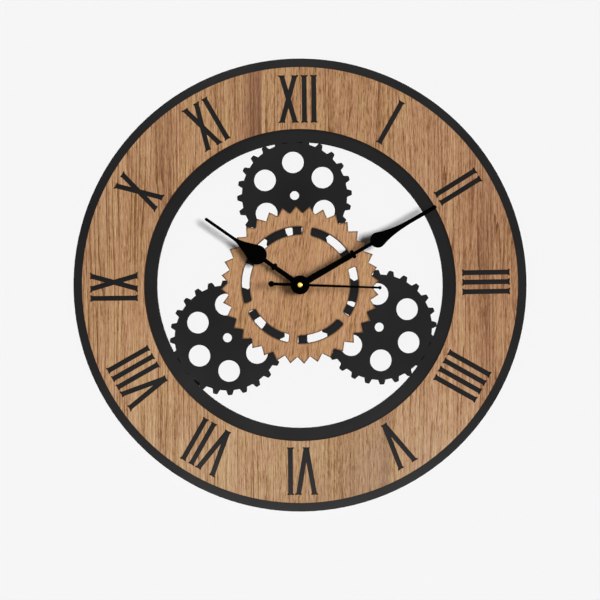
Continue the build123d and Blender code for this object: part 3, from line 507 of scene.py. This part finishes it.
DIAL_TONES = [
    (0.00, srgb(106, 71, 46)), (0.17, srgb(128, 88, 58)), (0.30, srgb(146, 105, 71)),
    (0.50, srgb(172, 131, 94)), (0.70, srgb(189, 150, 112)), (0.85, srgb(199, 164, 128)),
    (1.00, srgb(208, 175, 141)),
]
GEAR_TONES = [
    (0.00, srgb(112, 76, 50)), (0.17, srgb(134, 95, 64)), (0.30, srgb(153, 112, 77)),
    (0.50, srgb(178, 134, 95)), (0.70, srgb(191, 147, 109)), (0.85, srgb(201, 159, 121)),
    (1.00, srgb(208, 168, 132)),
]
oak("oak_dial", DIAL_STAVES, DIAL_TONES, lean=0.0, ring_gap=5.6, fine=0.8, scorch=1.0, scorch_w=0.6)
oak("oak_gear", GEAR_STAVES, GEAR_TONES, lean=7.0, ring_gap=4.2, fine=1.05, scorch=0.8, scorch_w=2.6)
print("oak sheets:", list(finishes))

# %% [markdown]
# ## Black board
# The board is a sheet of fibre board sprayed satin black. The spray leaves a faint orange peel and uneven
# gloss, handling rubs the outer edges a little lighter, and the cut walls show dark scorched fibre. Where
# a gap between teeth and ring is too narrow to cut through, the floor of the groove is painted near black,
# partly for its charring and partly as painted shade in the narrow groove. It lies between the sheet's two
# faces, so its depth tells it apart. A painted sheen lightens the black a little towards the foot and the
# top: with t as the height over the rim's radius, the tone is lifted by half of t squared minus about a
# quarter of t.

# %% Black board
RIM_R = 250.0
BELOW_FRONT = (0.5 * MM, 1.5 * MM)
ABOVE_BACK = (0.4 * MM, 0.2 * MM)
# near black of the groove floor: its charring and painted shade of the narrow groove
CHARRED_AND_SHADED = srgb(5, 5, 5)


def black_board():
    place = start("black_board")
    peel = place.noise((1.4, 1.4, 1.4), 2.0)
    speck = place.noise((0.5, 0.5, 0.5), 1.0)
    cloud = place.noise((70, 70, 70), 3.0)
    rubbed = near_edge(place, 1.2).step(0.3, 1.0) * place.noise((6, 6, 6), 2.0).step(0.35, 0.7)
    wall = on_wall(place)
    low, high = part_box("back_board")
    _, y, z = place.split()
    groove = y.step(*[low.y + depth for depth in BELOW_FRONT])
    groove = groove * (1 - y.step(*[high.y - depth for depth in ABOVE_BACK]))
    t = z * (1 / (RIM_R * MM))
    # painted sheen: lightens the black towards the foot and a little at the top
    painted_sheen = t * t * 0.5 - t * 0.24
    tone = (cloud - 0.5) * 0.6 + (speck - 0.5) * 0.45 + 0.27 + painted_sheen
    colour = tone.ramp([(0.05, srgb(23, 23, 24)), (0.45, srgb(35, 35, 36)), (0.95, srgb(53, 52, 52))])
    fibre = place.noise((0.6, 2.5, 0.6), 2.0).ramp([(0.25, srgb(16, 13, 11)), (0.75, srgb(44, 34, 27))])
    colour = (rubbed * 0.4).between(colour, srgb(62, 61, 59))
    # groove floor painted near black: charring and painted shade of the narrow groove
    colour = groove.between(colour, CHARRED_AND_SHADED)
    colour = wall.between(colour, fibre)
    roughness = 0.50 + (peel - 0.5) * 0.24 + (cloud - 0.5) * 0.2 + wall * 0.25
    close(place, colour, roughness, peel + speck * 0.4, 0.035, Specular_IOR_Level=0.05)


black_board()
print("board painted")

# %% [markdown]
# ## Hands and brass
# The hands are stamped sheet in flat black enamel, nearly free of reflection. The cap over the second
# hand's arbor is polished brass. Bush, washer and nut are turned brass, with the fine rings that a lathe
# leaves round the axis.

# %% Hands and brass
def black_enamel():
    place = start("black_enamel")
    peel = place.noise((0.8, 0.8, 0.8), 2.0)
    dust = place.noise((0.25, 0.25, 0.25), 1.0).step(0.68, 0.76)
    colour = (dust * 0.5 + peel * 0.25).between(srgb(1, 1, 1), srgb(8, 8, 9))
    close(place, colour, 0.42 + (peel - 0.5) * 0.2 + dust * 0.2, peel, 0.012, Specular_IOR_Level=0.004)


def brass(name, light, dark, shine, line_gap):
    """Brass with turning rings: a wave of the distance from the axis plus the depth, with some tarnish.
    Shine is the roughness it starts from."""
    place = start(name)
    depth = place.split()[1] * (1 / MM)
    lines = ((round_axis(place) + depth) / line_gap).wave()
    scratch = place.noise((0.15, 0.15, 1.5), 2.0)
    tarnish = place.noise((2.2, 2.2, 2.2), 3.0).step(0.45, 0.8)
    colour = tarnish.between(light, dark)
    roughness = shine + lines * 0.08 + (scratch - 0.5) * 0.12 + tarnish * 0.1
    close(place, colour, roughness, lines + scratch, 0.004, Metallic=1.0)


black_enamel()
brass("polished_brass", srgb(244, 208, 96), srgb(204, 158, 58), 0.16, 0.22)
brass("turned_brass", srgb(226, 190, 104), srgb(170, 130, 62), 0.26, 0.30)
print("finishes so far:", len(finishes))

# %% [markdown]
# ## Plastics and rubber
# The movement's case is black plastic with a spark-eroded grain from its mould. The knob is pale and
# smoother, the wheels are slippery acetal, and the washer behind the board is soft rubber with a bloom.

# %% Plastics and rubber
def moulded(name, low, high, grain_size, grain_lift, gloss, worn, specular):
    """Moulded plastic between two tones: mould grain as fine lumps of a size and lift in millimetres, slow
    flow marks in the colour, and edges rubbed to a worn tone. Gloss is the roughness it starts from."""
    place = start(name)
    grain = place.noise((grain_size,) * 3, 2.0)
    flow = place.noise((9, 9, 22), 3.0)
    rubbed = near_edge(place, 0.5).step(0.3, 1.0) * place.noise((3, 3, 3), 2.0).step(0.3, 0.7)
    colour = ((flow - 0.5) * 1.4 + (grain - 0.5) * 0.6 + 0.5).between(low, high)
    colour = (rubbed * 0.6).between(colour, worn)
    roughness = gloss + (grain - 0.5) * 0.25 - rubbed * 0.12
    close(place, colour, roughness, grain, grain_lift, Specular_IOR_Level=specular)


moulded("case_plastic", srgb(24, 24, 25), srgb(40, 40, 42), 0.35, 0.05, 0.55, srgb(62, 62, 64), 0.35)
moulded("knob_plastic", srgb(196, 195, 190), srgb(216, 215, 211), 0.5, 0.02, 0.42, srgb(228, 227, 224), 0.4)
moulded("acetal", srgb(222, 219, 208), srgb(238, 236, 228), 0.9, 0.008, 0.34, srgb(246, 245, 240), 0.45)
moulded("acetal_dark", srgb(58, 46, 40), srgb(84, 68, 58), 0.9, 0.008, 0.34, srgb(112, 94, 82), 0.45)
moulded("black_rubber", srgb(22, 22, 22), srgb(52, 51, 49), 0.6, 0.04, 0.82, srgb(66, 65, 62), 0.2)
moulded("chip_resin", srgb(12, 12, 13), srgb(26, 26, 28), 2.4, 0.08, 0.22, srgb(44, 44, 46), 0.5)
print("finishes so far:", len(finishes))

# %% [markdown]
# ## Metals of the movement
# Arbors are drawn steel, the stator is punched from rolled iron, the rotor is a pressed ferrite magnet,
# and the battery's contacts are nickel-plated strip. Each shows the lines of how it was made.

# %% Metals of the movement
def rolled_metal(name, light, dark, line_size, shine, line_lift):
    """Metal with long fine lines of a size and lift in millimetres, darker patches and bright edges. Shine
    is the roughness it starts from."""
    place = start(name)
    lines = place.noise(line_size, 3.0)
    patch = place.noise((3, 3, 3), 3.0).step(0.4, 0.75)
    bright = near_edge(place, 0.25).step(0.3, 1.0)
    colour = (patch * 0.7 + (lines - 0.5) * 0.5).between(light, dark)
    colour = (bright * 0.5).between(colour, light)
    close(place, colour, shine + (lines - 0.5) * 0.25 + patch * 0.12, lines, line_lift, Metallic=1.0)


def ferrite():
    place = start("ferrite")
    grit = place.noise((0.12, 0.12, 0.12), 2.0)
    cloud = place.noise((1.5, 1.5, 1.5), 2.0)
    colour = ((grit - 0.5) * 1.6 + (cloud - 0.5) + 0.5).between(srgb(44, 43, 44), srgb(92, 90, 90))
    close(place, colour, 0.55 + (grit - 0.5) * 0.3, grit, 0.01, Metallic=0.35)


rolled_metal("steel", srgb(206, 207, 208), srgb(150, 151, 153), (0.06, 3.0, 0.06), 0.24, 0.003)
rolled_metal("stator_iron", srgb(168, 166, 162), srgb(108, 108, 112), (6.0, 0.2, 0.12), 0.36, 0.006)
rolled_metal("contact_strip", srgb(214, 211, 202), srgb(164, 160, 150), (0.10, 0.10, 4.0), 0.26, 0.005)
ferrite()
print("finishes so far:", len(finishes))

# %% [markdown]
# ## Coil, circuit board and battery jacket
# The coil is enamelled copper wire in close turns between two pale bobbin ends. The circuit board is
# green laminate with broad copper tracks under the lacquer. The battery has a plain printed sleeve with a
# pale band, and bare steel at both ends. All three patterns are laid out from their solids' own boxes.

# %% Coil, circuit board and battery jacket
WIRE_PITCH = 0.16
FLANGE_T = 1.0
WEAVE_GAP = 0.45
TRACK_GAP = 3.4
CELL_END = 1.1
SLEEVE_TOP = 2.6
BAND_END = 11.0
PRINT_EDGE = 0.1


def along_x(place, node):
    """Distance in millimetres from each end of a node's box along x, as two signals."""
    low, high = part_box(node)
    x = place.split()[0]
    return (x - low.x) * (1 / MM), (high.x - x) * (1 / MM)


def copper_winding():
    place = start("copper_winding")
    left, right = along_x(place, "coil")
    bobbin = 1 - left.math("MINIMUM", left, right).step(FLANGE_T - 0.04, FLANGE_T + 0.04)
    layer = place.noise((3, 0.4, 0.4), 2.0)
    wire = ((left + layer * 0.1) / WIRE_PITCH).wave()
    copper = (wire * 0.6 + (layer - 0.5) * 1.2).between(srgb(122, 58, 30), srgb(206, 118, 70))
    nylon = place.noise((1, 1, 1), 2.0).between(srgb(206, 202, 190), srgb(226, 223, 213))
    close(
        place, bobbin.between(copper, nylon), 0.30 + bobbin * 0.2 + (layer - 0.5) * 0.1,
        wire * (1 - bobbin), 0.05, Metallic=(1 - bobbin) * 0.85,
    )


def circuit_laminate():
    place = start("circuit_laminate")
    x, _, z = place.split()
    weave = (x * (1 / (WEAVE_GAP * MM))).wave() * (z * (1 / (WEAVE_GAP * MM))).wave()
    bend = place.noise((6, 6, 6), 1.0) * 2.0
    track = abs((z * (1 / (TRACK_GAP * MM)) + bend).part() - 0.5)
    copper = 1 - track.step(0.16, 0.20)
    green = weave.between(srgb(38, 84, 54), srgb(54, 104, 68))
    colour = (copper * 0.8).between(green, srgb(96, 132, 70))
    close(place, colour, 0.36 + (weave - 0.5) * 0.1, copper + weave * 0.2, 0.03, Specular_IOR_Level=0.5)


def battery_jacket():
    place = start("battery_jacket")
    low_end, high_end = along_x(place, "battery")
    sleeve = low_end.step(CELL_END - PRINT_EDGE / 2, CELL_END + PRINT_EDGE / 2)
    sleeve = sleeve * high_end.step(SLEEVE_TOP, SLEEVE_TOP + PRINT_EDGE)
    band = sleeve * (1 - high_end.step(BAND_END, BAND_END + PRINT_EDGE))
    print_grain = place.noise((0.3, 0.3, 0.3), 2.0)
    scuff = place.noise((9, 0.5, 0.5), 2.0).step(0.62, 0.75)
    steel = place.noise((0.2, 1.0, 1.0), 2.0).between(srgb(172, 173, 175), srgb(206, 207, 208))
    blue = ((print_grain - 0.5) * 0.8 + 0.5).between(srgb(42, 62, 92), srgb(54, 76, 108))
    grey = ((print_grain - 0.5) * 0.8 + 0.5).between(srgb(196, 198, 200), srgb(214, 216, 217))
    colour = sleeve.between(steel, band.between(blue, grey))
    colour = (scuff * sleeve * 0.35).between(colour, srgb(150, 156, 164))
    roughness = 0.30 + sleeve * 0.06 + scuff * 0.15
    close(place, colour, roughness, print_grain, 0.006, Metallic=0.9 - sleeve * 0.55)


copper_winding()
circuit_laminate()
battery_jacket()
print("finishes made:", len(finishes))

# %% [markdown]
# ## Dressing the CAD pieces
# The record says which finish every node takes. The node keeps its own mesh, and only its material
# changes.

# %% Dressing the CAD pieces
slot_of = {entry["node"]: entry["material_slot"] for entry in frame["record"]["subparts"]}
bodies = frame["record"]["behaviour"]["bodies"]
body_of = {node: body for body, members in bodies.items() for node in members}
for node, slot in slot_of.items():
    mesh = nodes[node].data
    mesh.materials.clear()
    mesh.materials.append(finishes[slot])
print("dressed:", len(slot_of))

# %% [markdown]
# ## Grids into meshes
# The pieces below are surfaces of two parameters. Numpy works out all their points at once, and the
# faces join each point of the grid to its neighbours. A grid that is closed in a direction joins its last
# row to its first, and rows that shrink to one point are merged, so that no seam or pole stays open.

# %% Grids into meshes
SMOOTH_BELOW = 35.0


def grid_faces(rows, columns, start_at, close_rows):
    """Four-cornered faces of a grid whose columns always wrap round."""
    row = np.arange(rows if close_rows else rows - 1)[:, None]
    column = np.arange(columns)[None, :]
    after = (column + 1) % columns
    below = (row + 1) % rows
    corners = [
        row * columns + column, row * columns + after, below * columns + after, below * columns + column,
    ]
    return np.stack([c + 0 * row + 0 * column for c in corners], axis=-1).reshape(-1, 4) + start_at


def piece_from_grids(name, node, grids):
    """Makes one piece from grids of points, each with a flag that says if its rows close, and puts it in
    the place of a CAD node: on its body, with its finish."""
    points, faces, used = [], [], 0
    for grid, close_rows in grids:
        rows, columns, _ = grid.shape
        points.append(grid.reshape(-1, 3))
        faces.append(grid_faces(rows, columns, used, close_rows))
        used += rows * columns
    mesh = bpy.data.meshes.new(name)
    mesh.from_pydata(np.concatenate(points).tolist(), [], np.concatenate(faces).tolist())
    shape = bmesh.new()
    shape.from_mesh(mesh)
    bmesh.ops.remove_doubles(shape, verts=shape.verts, dist=1e-6)
    bmesh.ops.dissolve_degenerate(shape, edges=shape.edges, dist=1e-7)
    bmesh.ops.recalc_face_normals(shape, faces=shape.faces)
    shape.to_mesh(mesh)
    shape.free()
    mesh.polygons.foreach_set("use_smooth", np.ones(len(mesh.polygons), bool))
    mesh.set_sharp_from_angle(angle=math.radians(SMOOTH_BELOW))
    mesh.materials.append(finishes[slot_of[node]])
    piece = bpy.data.objects.new(name, mesh)
    scene.collection.objects.link(piece)
    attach(piece, body_of[node])
    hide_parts(node)
    print(name, "faces:", len(mesh.polygons))
    return piece


print("pieces to come ride on bodies such as", body_of["hour_hand"])

# %% [markdown]
# ## Turned and rounded outlines
# Hubs, cap, nut and bush are lathe work, so their outlines of radius and depth are turned round the axis.
# Real corners are never quite sharp, so a second helper replaces each corner of an outline by a short
# curve. Where a piece sits comes from its CAD solid's own box.

# %% Turned and rounded outlines
def turned_grid(profile, steps, radius_at=None):
    """Profile of radius and depth, in millimetres, turned round the hand axis. radius_at may change the
    radius: it takes radius, depth and angle, each as a whole grid."""
    angle = np.linspace(0, 2 * np.pi, steps, endpoint=False)[None, :]
    radius = np.asarray(profile, float)[:, :1] + 0 * angle
    depth = np.asarray(profile, float)[:, 1:] + 0 * angle
    if radius_at is not None:
        radius = radius_at(radius, depth, angle)
    return np.stack([radius * np.sin(angle), -depth, radius * np.cos(angle)], axis=-1) * MM


def rounded(corners, reach, steps=5):
    """Closed outline whose corners are replaced by short curves: each runs from a point at reach before
    the corner to one at reach after it, as a quadratic curve pulled towards the corner."""
    corners = np.asarray(corners, float)
    before, after = np.roll(corners, 1, axis=0) - corners, np.roll(corners, -1, axis=0) - corners
    length_before = np.linalg.norm(before, axis=1, keepdims=True)
    length_after = np.linalg.norm(after, axis=1, keepdims=True)
    first = corners + before / length_before * np.minimum(reach, 0.45 * length_before)
    last = corners + after / length_after * np.minimum(reach, 0.45 * length_after)
    t = np.linspace(0, 1, steps)[None, :, None]
    curve = first[:, None] * (1 - t) ** 2 + 2 * corners[:, None] * t * (1 - t) + last[:, None] * t ** 2
    return curve.reshape(-1, 2)


def depths(node):
    """Back and front of a CAD node as depths from the wall, in millimetres."""
    low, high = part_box(node)
    return -high.y / MM, -low.y / MM


print("hour hand lies from depth", [round(d, 2) for d in depths("hour_hand")])

# %% [markdown]
# ## Outline of a hand
# A hand is the same on both sides, so its outline is one function: half the width at each distance from
# the axis, in millimetres. A spade hand has a tapering shaft, a round knuckle, a neck, a circular spade
# that draws out into a thin stem, and a round tip. The second hand is a needle with a bead and a ball, and
# a bar with a larger ball as its counterweight.

# %% Outline of a hand
KNUCKLE_H = 4.3
SHOULDER_ANGLE = math.radians(20.0)
HOUR = dict(length=127.0, shaft_w=5.8, knuckle_at=34.7, knuckle_w=8.6, neck_w=4.6, spade_at=57.6,
            spade_r=10.8, stem_from=90.0, stem_w=3.4)
MINUTE = dict(length=172.0, shaft_w=7.7, knuckle_at=67.0, knuckle_w=10.0, neck_w=4.0, spade_at=98.2,
              spade_r=8.5, stem_from=146.0, stem_w=4.4)
SECOND = dict(length=89.0, root_w=3.0, tip_w=2.2, ball_r=1.9, bead_at=80.0, bead_r=1.6,
              tail_length=34.5, tail_w=3.4, tail_ball_r=3.3)


def circle_half(along, centre, radius):
    """Half width of a round boss of the hand, and 0 outside it."""
    return np.sqrt(np.maximum(radius ** 2 - (along - centre) ** 2, 0))


def spade_half(
    along, length, shaft_w, knuckle_at, knuckle_w, neck_w, spade_at, spade_r, stem_from, stem_w
):
    """Half width of a spade hand. Above the spade's shoulder it follows a cubic curve that leaves the
    circle along its tangent and reaches the stem upright."""
    shaft_end_w = (shaft_w + neck_w) / 2
    tapered = shaft_w + (shaft_end_w - shaft_w) * along / knuckle_at
    shaft = np.where(along <= knuckle_at, tapered, neck_w) / 2
    shaft = np.where(along <= spade_at, shaft, 0)
    knuckle = knuckle_w / 2 - KNUCKLE_H / 2 + circle_half(along, knuckle_at, KNUCKLE_H / 2)
    knuckle = np.where(abs(along - knuckle_at) < KNUCKLE_H / 2, knuckle, 0)
    leaving = np.array([math.cos(SHOULDER_ANGLE), math.sin(SHOULDER_ANGLE)])
    shoulder = np.array([0.0, spade_at]) + spade_r * leaving
    stem = np.array([stem_w / 2, stem_from])
    reach = np.linalg.norm(stem - shoulder)
    leave = np.array([-leaving[1], leaving[0]]) * reach
    arrive = np.array([0.0, 1.0]) * reach
    t = np.linspace(0, 1, 120)[:, None]
    curve = (
        (2 * t ** 3 - 3 * t ** 2 + 1) * shoulder + (t ** 3 - 2 * t ** 2 + t) * leave
        + (3 * t ** 2 - 2 * t ** 3) * stem + (t ** 3 - t ** 2) * arrive
    )
    drawn = np.interp(along, curve[:, 1], curve[:, 0])
    tip_from = length - stem_w / 2
    upper = np.where(along < tip_from, drawn, circle_half(along, tip_from, stem_w / 2))
    upper = np.where(along < shoulder[1], 0, upper)
    spade = np.where(along < shoulder[1], circle_half(along, spade_at, spade_r), 0)
    return np.maximum.reduce([shaft, knuckle, spade, upper])


def second_half(
    along, length, root_w, tip_w, ball_r, bead_at, bead_r, tail_length, tail_w, tail_ball_r
):
    """Half width of the second hand: a tapering needle with a bead and a ball, and a bar with a larger
    ball on the other side of the axis."""
    needle_end = length - ball_r
    needle = np.where(along <= needle_end, root_w + (tip_w - root_w) * along / needle_end, 0) / 2
    tail_end = tail_ball_r - tail_length
    tail = np.where(along >= tail_end, tail_w / 2, 0)
    bosses = [
        circle_half(along, needle_end, ball_r), circle_half(along, bead_at, bead_r),
        circle_half(along, tail_end, tail_ball_r),
    ]
    return np.maximum.reduce([np.where(along > 0, needle, tail), *bosses])


trial = np.linspace(0, MINUTE["length"], 1000)
print("minute hand's greatest width in mm:", round(2 * spade_half(trial, **MINUTE).max(), 1))

# %% [markdown]
# ## Blade and hub
# A stamped hand has edges that the punch rolls over and the enamel rounds off further. So its blade is a
# flat bar with round edges carried along the hand, as wide as the outline says. The hub is a turned ring
# with its collar behind, so that the pipes still pass through.

# %% Blade and hub
EDGE_ROUND = 0.28
SKIN = 0.015


def blade_grid(along, half_width, back, front, clock_angle):
    """Bar with round edges carried along a hand. Across it has half_width at each station, and its
    section is a rectangle whose corners have the edge's radius, or less where the hand is narrower."""
    half_t = (front - back) / 2 - SKIN
    corner = np.minimum(EDGE_ROUND, np.minimum(0.9 * half_width, half_t))[:, None]
    turn = np.linspace(0, np.pi / 2, 5)
    angle = np.concatenate([turn + quarter * np.pi / 2 for quarter in range(4)])[None, :]
    side = np.repeat([1, -1, -1, 1], len(turn))[None, :]
    face = np.repeat([1, 1, -1, -1], len(turn))[None, :]
    across = side * np.maximum(half_width[:, None] - corner, 0) + corner * np.cos(angle)
    depth = (back + front) / 2 + face * (half_t - corner) + corner * np.sin(angle)
    along = along[:, None] + 0 * across
    middle = depth[[0, -1]] * 0 + (back + front) / 2
    ends = np.stack([across[[0, -1]] * 0, along[[0, -1]], middle], axis=-1)
    body = np.stack([across, along, depth], axis=-1)
    local = np.concatenate([ends[:1], body, ends[1:]])
    turn = math.radians(clock_angle)
    x = local[..., 0] * math.cos(turn) + local[..., 1] * math.sin(turn)
    z = local[..., 1] * math.cos(turn) - local[..., 0] * math.sin(turn)
    return np.stack([x, -local[..., 2], z], axis=-1) * MM


def stations(start_at, end_at, marks, gap=0.5):
    """Distances along a hand, even ones and closer ones round each mark."""
    close = np.concatenate([np.linspace(mark - 3, mark + 3, 61) for mark in marks])
    all_of = np.concatenate([np.arange(start_at, end_at, gap), close, [start_at, end_at]])
    return np.unique(np.clip(np.round(all_of, 3), start_at, end_at))


def hub_grid(node, hub_r, collar_r, bore_r, blade_t):
    """Ring of a hand with its collar behind, turned round the axis, edges rounded."""
    back, front = depths(node)
    step = front - blade_t
    outline = [
        (bore_r, back), (collar_r, back), (collar_r, step), (hub_r, step), (hub_r, front), (bore_r, front),
    ]
    return turned_grid(rounded(outline, EDGE_ROUND), 72), True


print("rounding of the stamped edges in mm:", EDGE_ROUND)

# %% [markdown]
# ## Three hands
# Each hand is one mesh of blade and hub, set as in the picture at ten past ten. A blade starts inside its
# hub, where the ring hides its end.

# %% Three hands
HUB_R = 10.4
BLADE_T = 0.9
SECOND_T = 0.6
SPADE_FROM = 8.0
NEEDLE_FROM = 3.5
# the closer stations over the tail's ball are centred so far from its end
TAIL_MARK = 2.5


def spade_hand(name, node, facts, clock_angle, collar_r, bore_r):
    _, front = depths(node)
    marks = [facts["knuckle_at"], facts["spade_at"] - facts["spade_r"], facts["length"]]
    along = stations(SPADE_FROM, facts["length"], marks)
    blade = blade_grid(along, spade_half(along, **facts), front - BLADE_T, front, clock_angle)
    hub = hub_grid(node, HUB_R, collar_r, bore_r, BLADE_T)
    return piece_from_grids(name, node, [(blade, False), hub])


def needle_hand(name, node, facts, clock_angle, hub_r, collar_r, bore_r):
    _, front = depths(node)
    grids = [hub_grid(node, hub_r, collar_r, bore_r, SECOND_T)]
    tip, tail = facts["length"], -facts["tail_length"]
    needle = (NEEDLE_FROM, tip, (facts["bead_at"], tip - facts["ball_r"]))
    for start_at, end_at, marks in (needle, (tail, -NEEDLE_FROM, (tail + TAIL_MARK,))):
        along = stations(start_at, end_at, marks)
        width = second_half(along, **facts)
        grids.append((blade_grid(along, width, front - SECOND_T, front, clock_angle), False))
    return piece_from_grids(name, node, grids)


HOUR_SEAT = dict(clock_angle=305.0, collar_r=4.0, bore_r=2.52)
MINUTE_SEAT = dict(clock_angle=60.0, collar_r=3.1, bore_r=1.62)
SECOND_SEAT = dict(clock_angle=92.0, hub_r=5.0, collar_r=2.0, bore_r=0.52)
hour_piece = spade_hand("hour_hand_stamped", "hour_hand", HOUR, **HOUR_SEAT)
minute_piece = spade_hand("minute_hand_stamped", "minute_hand", MINUTE, **MINUTE_SEAT)
second_piece = needle_hand("second_hand_stamped", "second_hand", SECOND, **SECOND_SEAT)

# %% [markdown]
# ## Brass cap
# The cap is a small brass dome over the arbor's end: a quarter of an ellipse, made a little fuller, turned
# round the axis above a short straight skirt.

# %% Brass cap
CAP_R = 2.75
CAP_SKIRT = 0.45
CAP_BEVEL = 0.15
CAP_BORE_R = 0.52
CAP_BORE_DEPTH = 0.92
DOME_POWER = 0.8


def cap_profile():
    """Outline of the domed cap from its bore round the dome to the axis."""
    back, front = depths("second_cap")
    skirt, bore_front = back + CAP_SKIRT, back + CAP_BORE_DEPTH
    t = np.linspace(0, np.pi / 2, 18)
    dome = np.stack([CAP_R * np.cos(t) ** DOME_POWER, skirt + (front - skirt) * np.sin(t)], axis=-1)
    inside = [(0.0, bore_front), (CAP_BORE_R, bore_front), (CAP_BORE_R, back)]
    foot = [(CAP_R - CAP_BEVEL, back), (CAP_R, back + CAP_BEVEL)]
    return np.concatenate([inside, foot, dome])


cap_grid = turned_grid(cap_profile(), 64)
cap_piece = piece_from_grids("brass_cap_domed", "second_cap", [(cap_grid, False)])

# %% [markdown]
# ## Nut and bush
# The nut is a hexagon whose corners a lathe has chamfered, so its radius is the smaller of the hexagon's
# and a cone's. The bush carries a screw thread: its radius is a triangle wave of the depth in pitches minus
# the angle in turns, which climbs once round by one pitch.

# %% Nut and bush
NUT_HALF = 6.0
NUT_CHAMFER = 0.45
NUT_BORE_R = 4.02
NUT_FACE_R = 5.4
NUT_LEVELS = np.array([0, 0.06, 0.12, 0.18, 0.5, 0.82, 0.88, 0.94, 1.0])
BUSH_R = 4.0
BUSH_BORE_R = 2.58
BUSH_TIP_R = 3.5
FLANGE_R = 6.5
FLANGE_FROM = 17.0
FLANGE_TO = 18.0
THREAD_FROM = 18.2
THREAD_PITCH = 0.75
THREAD_DEPTH = 0.42


def hexagon(radius, depth, angle):
    """Radius of a chamfered hexagon: flat sides at one distance from the axis, cut by a cone at each face."""
    back, front = depths("lock_nut")
    side = NUT_HALF / np.cos((angle + np.pi / 6) % (np.pi / 3) - np.pi / 6)
    from_face = np.minimum(depth - back, front - depth)
    cone = NUT_HALF + 0.05 + from_face * (1 / NUT_CHAMFER)
    return np.where(radius > NUT_HALF - 0.5, np.minimum(side, cone), radius)


def thread(radius, depth, angle):
    """Radius of a screw thread where the bush is outside and in front of its flange."""
    turns = depth / THREAD_PITCH - angle / (2 * np.pi)
    ridge = abs(turns % 1.0 - 0.5) * 2
    threaded = (abs(radius - BUSH_R) < 0.1) & (depth > THREAD_FROM)
    return np.where(threaded, radius - THREAD_DEPTH * ridge, radius)


nut_back, nut_front = depths("lock_nut")
nut_profile = [
    (NUT_BORE_R, nut_back), (NUT_FACE_R, nut_back),
    *[(NUT_HALF, level) for level in nut_back + (nut_front - nut_back) * NUT_LEVELS],
    (NUT_FACE_R, nut_front), (NUT_BORE_R, nut_front),
]
nut_grid = turned_grid(nut_profile, 144, hexagon)
piece_from_grids("lock_nut_chamfered", "lock_nut", [(nut_grid, True)])

bush_back, bush_front = depths("threaded_bush")
thread_levels = np.linspace(THREAD_FROM + 0.1, bush_front - 0.02, 130)
bush_profile = [
    (BUSH_BORE_R, bush_back), (BUSH_R, bush_back), (BUSH_R, FLANGE_FROM), (FLANGE_R, FLANGE_FROM),
    (FLANGE_R, FLANGE_TO), (BUSH_R, FLANGE_TO), *[(BUSH_R, level) for level in thread_levels],
    (BUSH_TIP_R, bush_front), (BUSH_BORE_R, bush_front),
]
bush_grid = turned_grid(bush_profile, 60, thread)
piece_from_grids("bush_threaded", "threaded_bush", [(bush_grid, True)])

# %% [markdown]
# ## Battery
# A round cell is a drawn steel can in a plastic sleeve. Its ends roll in over a groove, and a stepped
# button stands on the positive end. The outline is turned round the cell's own axis, which lies along x.

# %% Battery
def battery_grid(steps=72):
    """Outline of radius against the distance from the flat end, turned round the cell's axis."""
    low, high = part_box("battery")
    radius = (high.z - low.z) / 2 / MM
    length = (high.x - low.x) / MM
    shoulder = length - 1.5
    outline = np.array([
        (0, 0.35), (radius - 3.4, 0.35), (radius - 3.0, 0), (radius - 1.0, 0), (radius - 0.35, 0.12),
        (radius - 0.06, 0.45), (radius - 0.06, 1.0), (radius, 1.1), (radius, shoulder - 1.1),
        (radius - 0.06, shoulder - 1.0), (radius - 0.06, shoulder - 0.5), (radius - 0.35, shoulder - 0.15),
        (radius - 1.0, shoulder), (radius - 2.4, shoulder), (radius - 2.7, shoulder - 0.3),
        (3.6, shoulder - 0.3), (3.2, shoulder), (2.75, shoulder + 0.1), (2.75, length - 0.35),
        (2.6, length - 0.1), (2.3, length), (0, length),
    ])
    angle = np.linspace(0, 2 * np.pi, steps, endpoint=False)[None, :]
    centre_y, centre_z = (low.y + high.y) / 2, (low.z + high.z) / 2
    x = low.x + outline[:, 1:] * MM + 0 * angle
    y = centre_y + outline[:, :1] * MM * np.cos(angle)
    z = centre_z + outline[:, :1] * MM * np.sin(angle)
    return np.stack([x, y, z], axis=-1)


piece_from_grids("battery_cell", "battery", [(battery_grid(), False)])

# %% [markdown]
# ## Whose shadows fall where
# The wall's lamp lights the wall alone, and the clock's side and front lamps light everything but the
# wall. In the picture the hands throw the only shadows, on wall and oak, and the figures and the black
# lip are as bright as the rim. So only the hands and their cap stand in the way of the wall's lamp and the
# side lamp. Every piece blocks the front lamp and the room's faint light, which shades the joints.

# %% Whose shadows fall where
hand_shadows = bpy.data.collections.new("hand_shadows")
for piece in (hour_piece, minute_piece, second_piece, cap_piece):
    hand_shadows.objects.link(piece)
wall_only = bpy.data.collections.new("wall_only")
wall_only.objects.link(wall)
all_but_wall = bpy.data.collections.new("all_but_wall")
all_but_wall.objects.link(wall)
all_but_wall.collection_objects[0].light_linking.link_state = "EXCLUDE"
wall_lamp.light_linking.receiver_collection = wall_only
for lamp in (wall_lamp, side_lamp):
    lamp.light_linking.blocker_collection = hand_shadows
for lamp in (side_lamp, front_lamp):
    lamp.light_linking.receiver_collection = all_but_wall
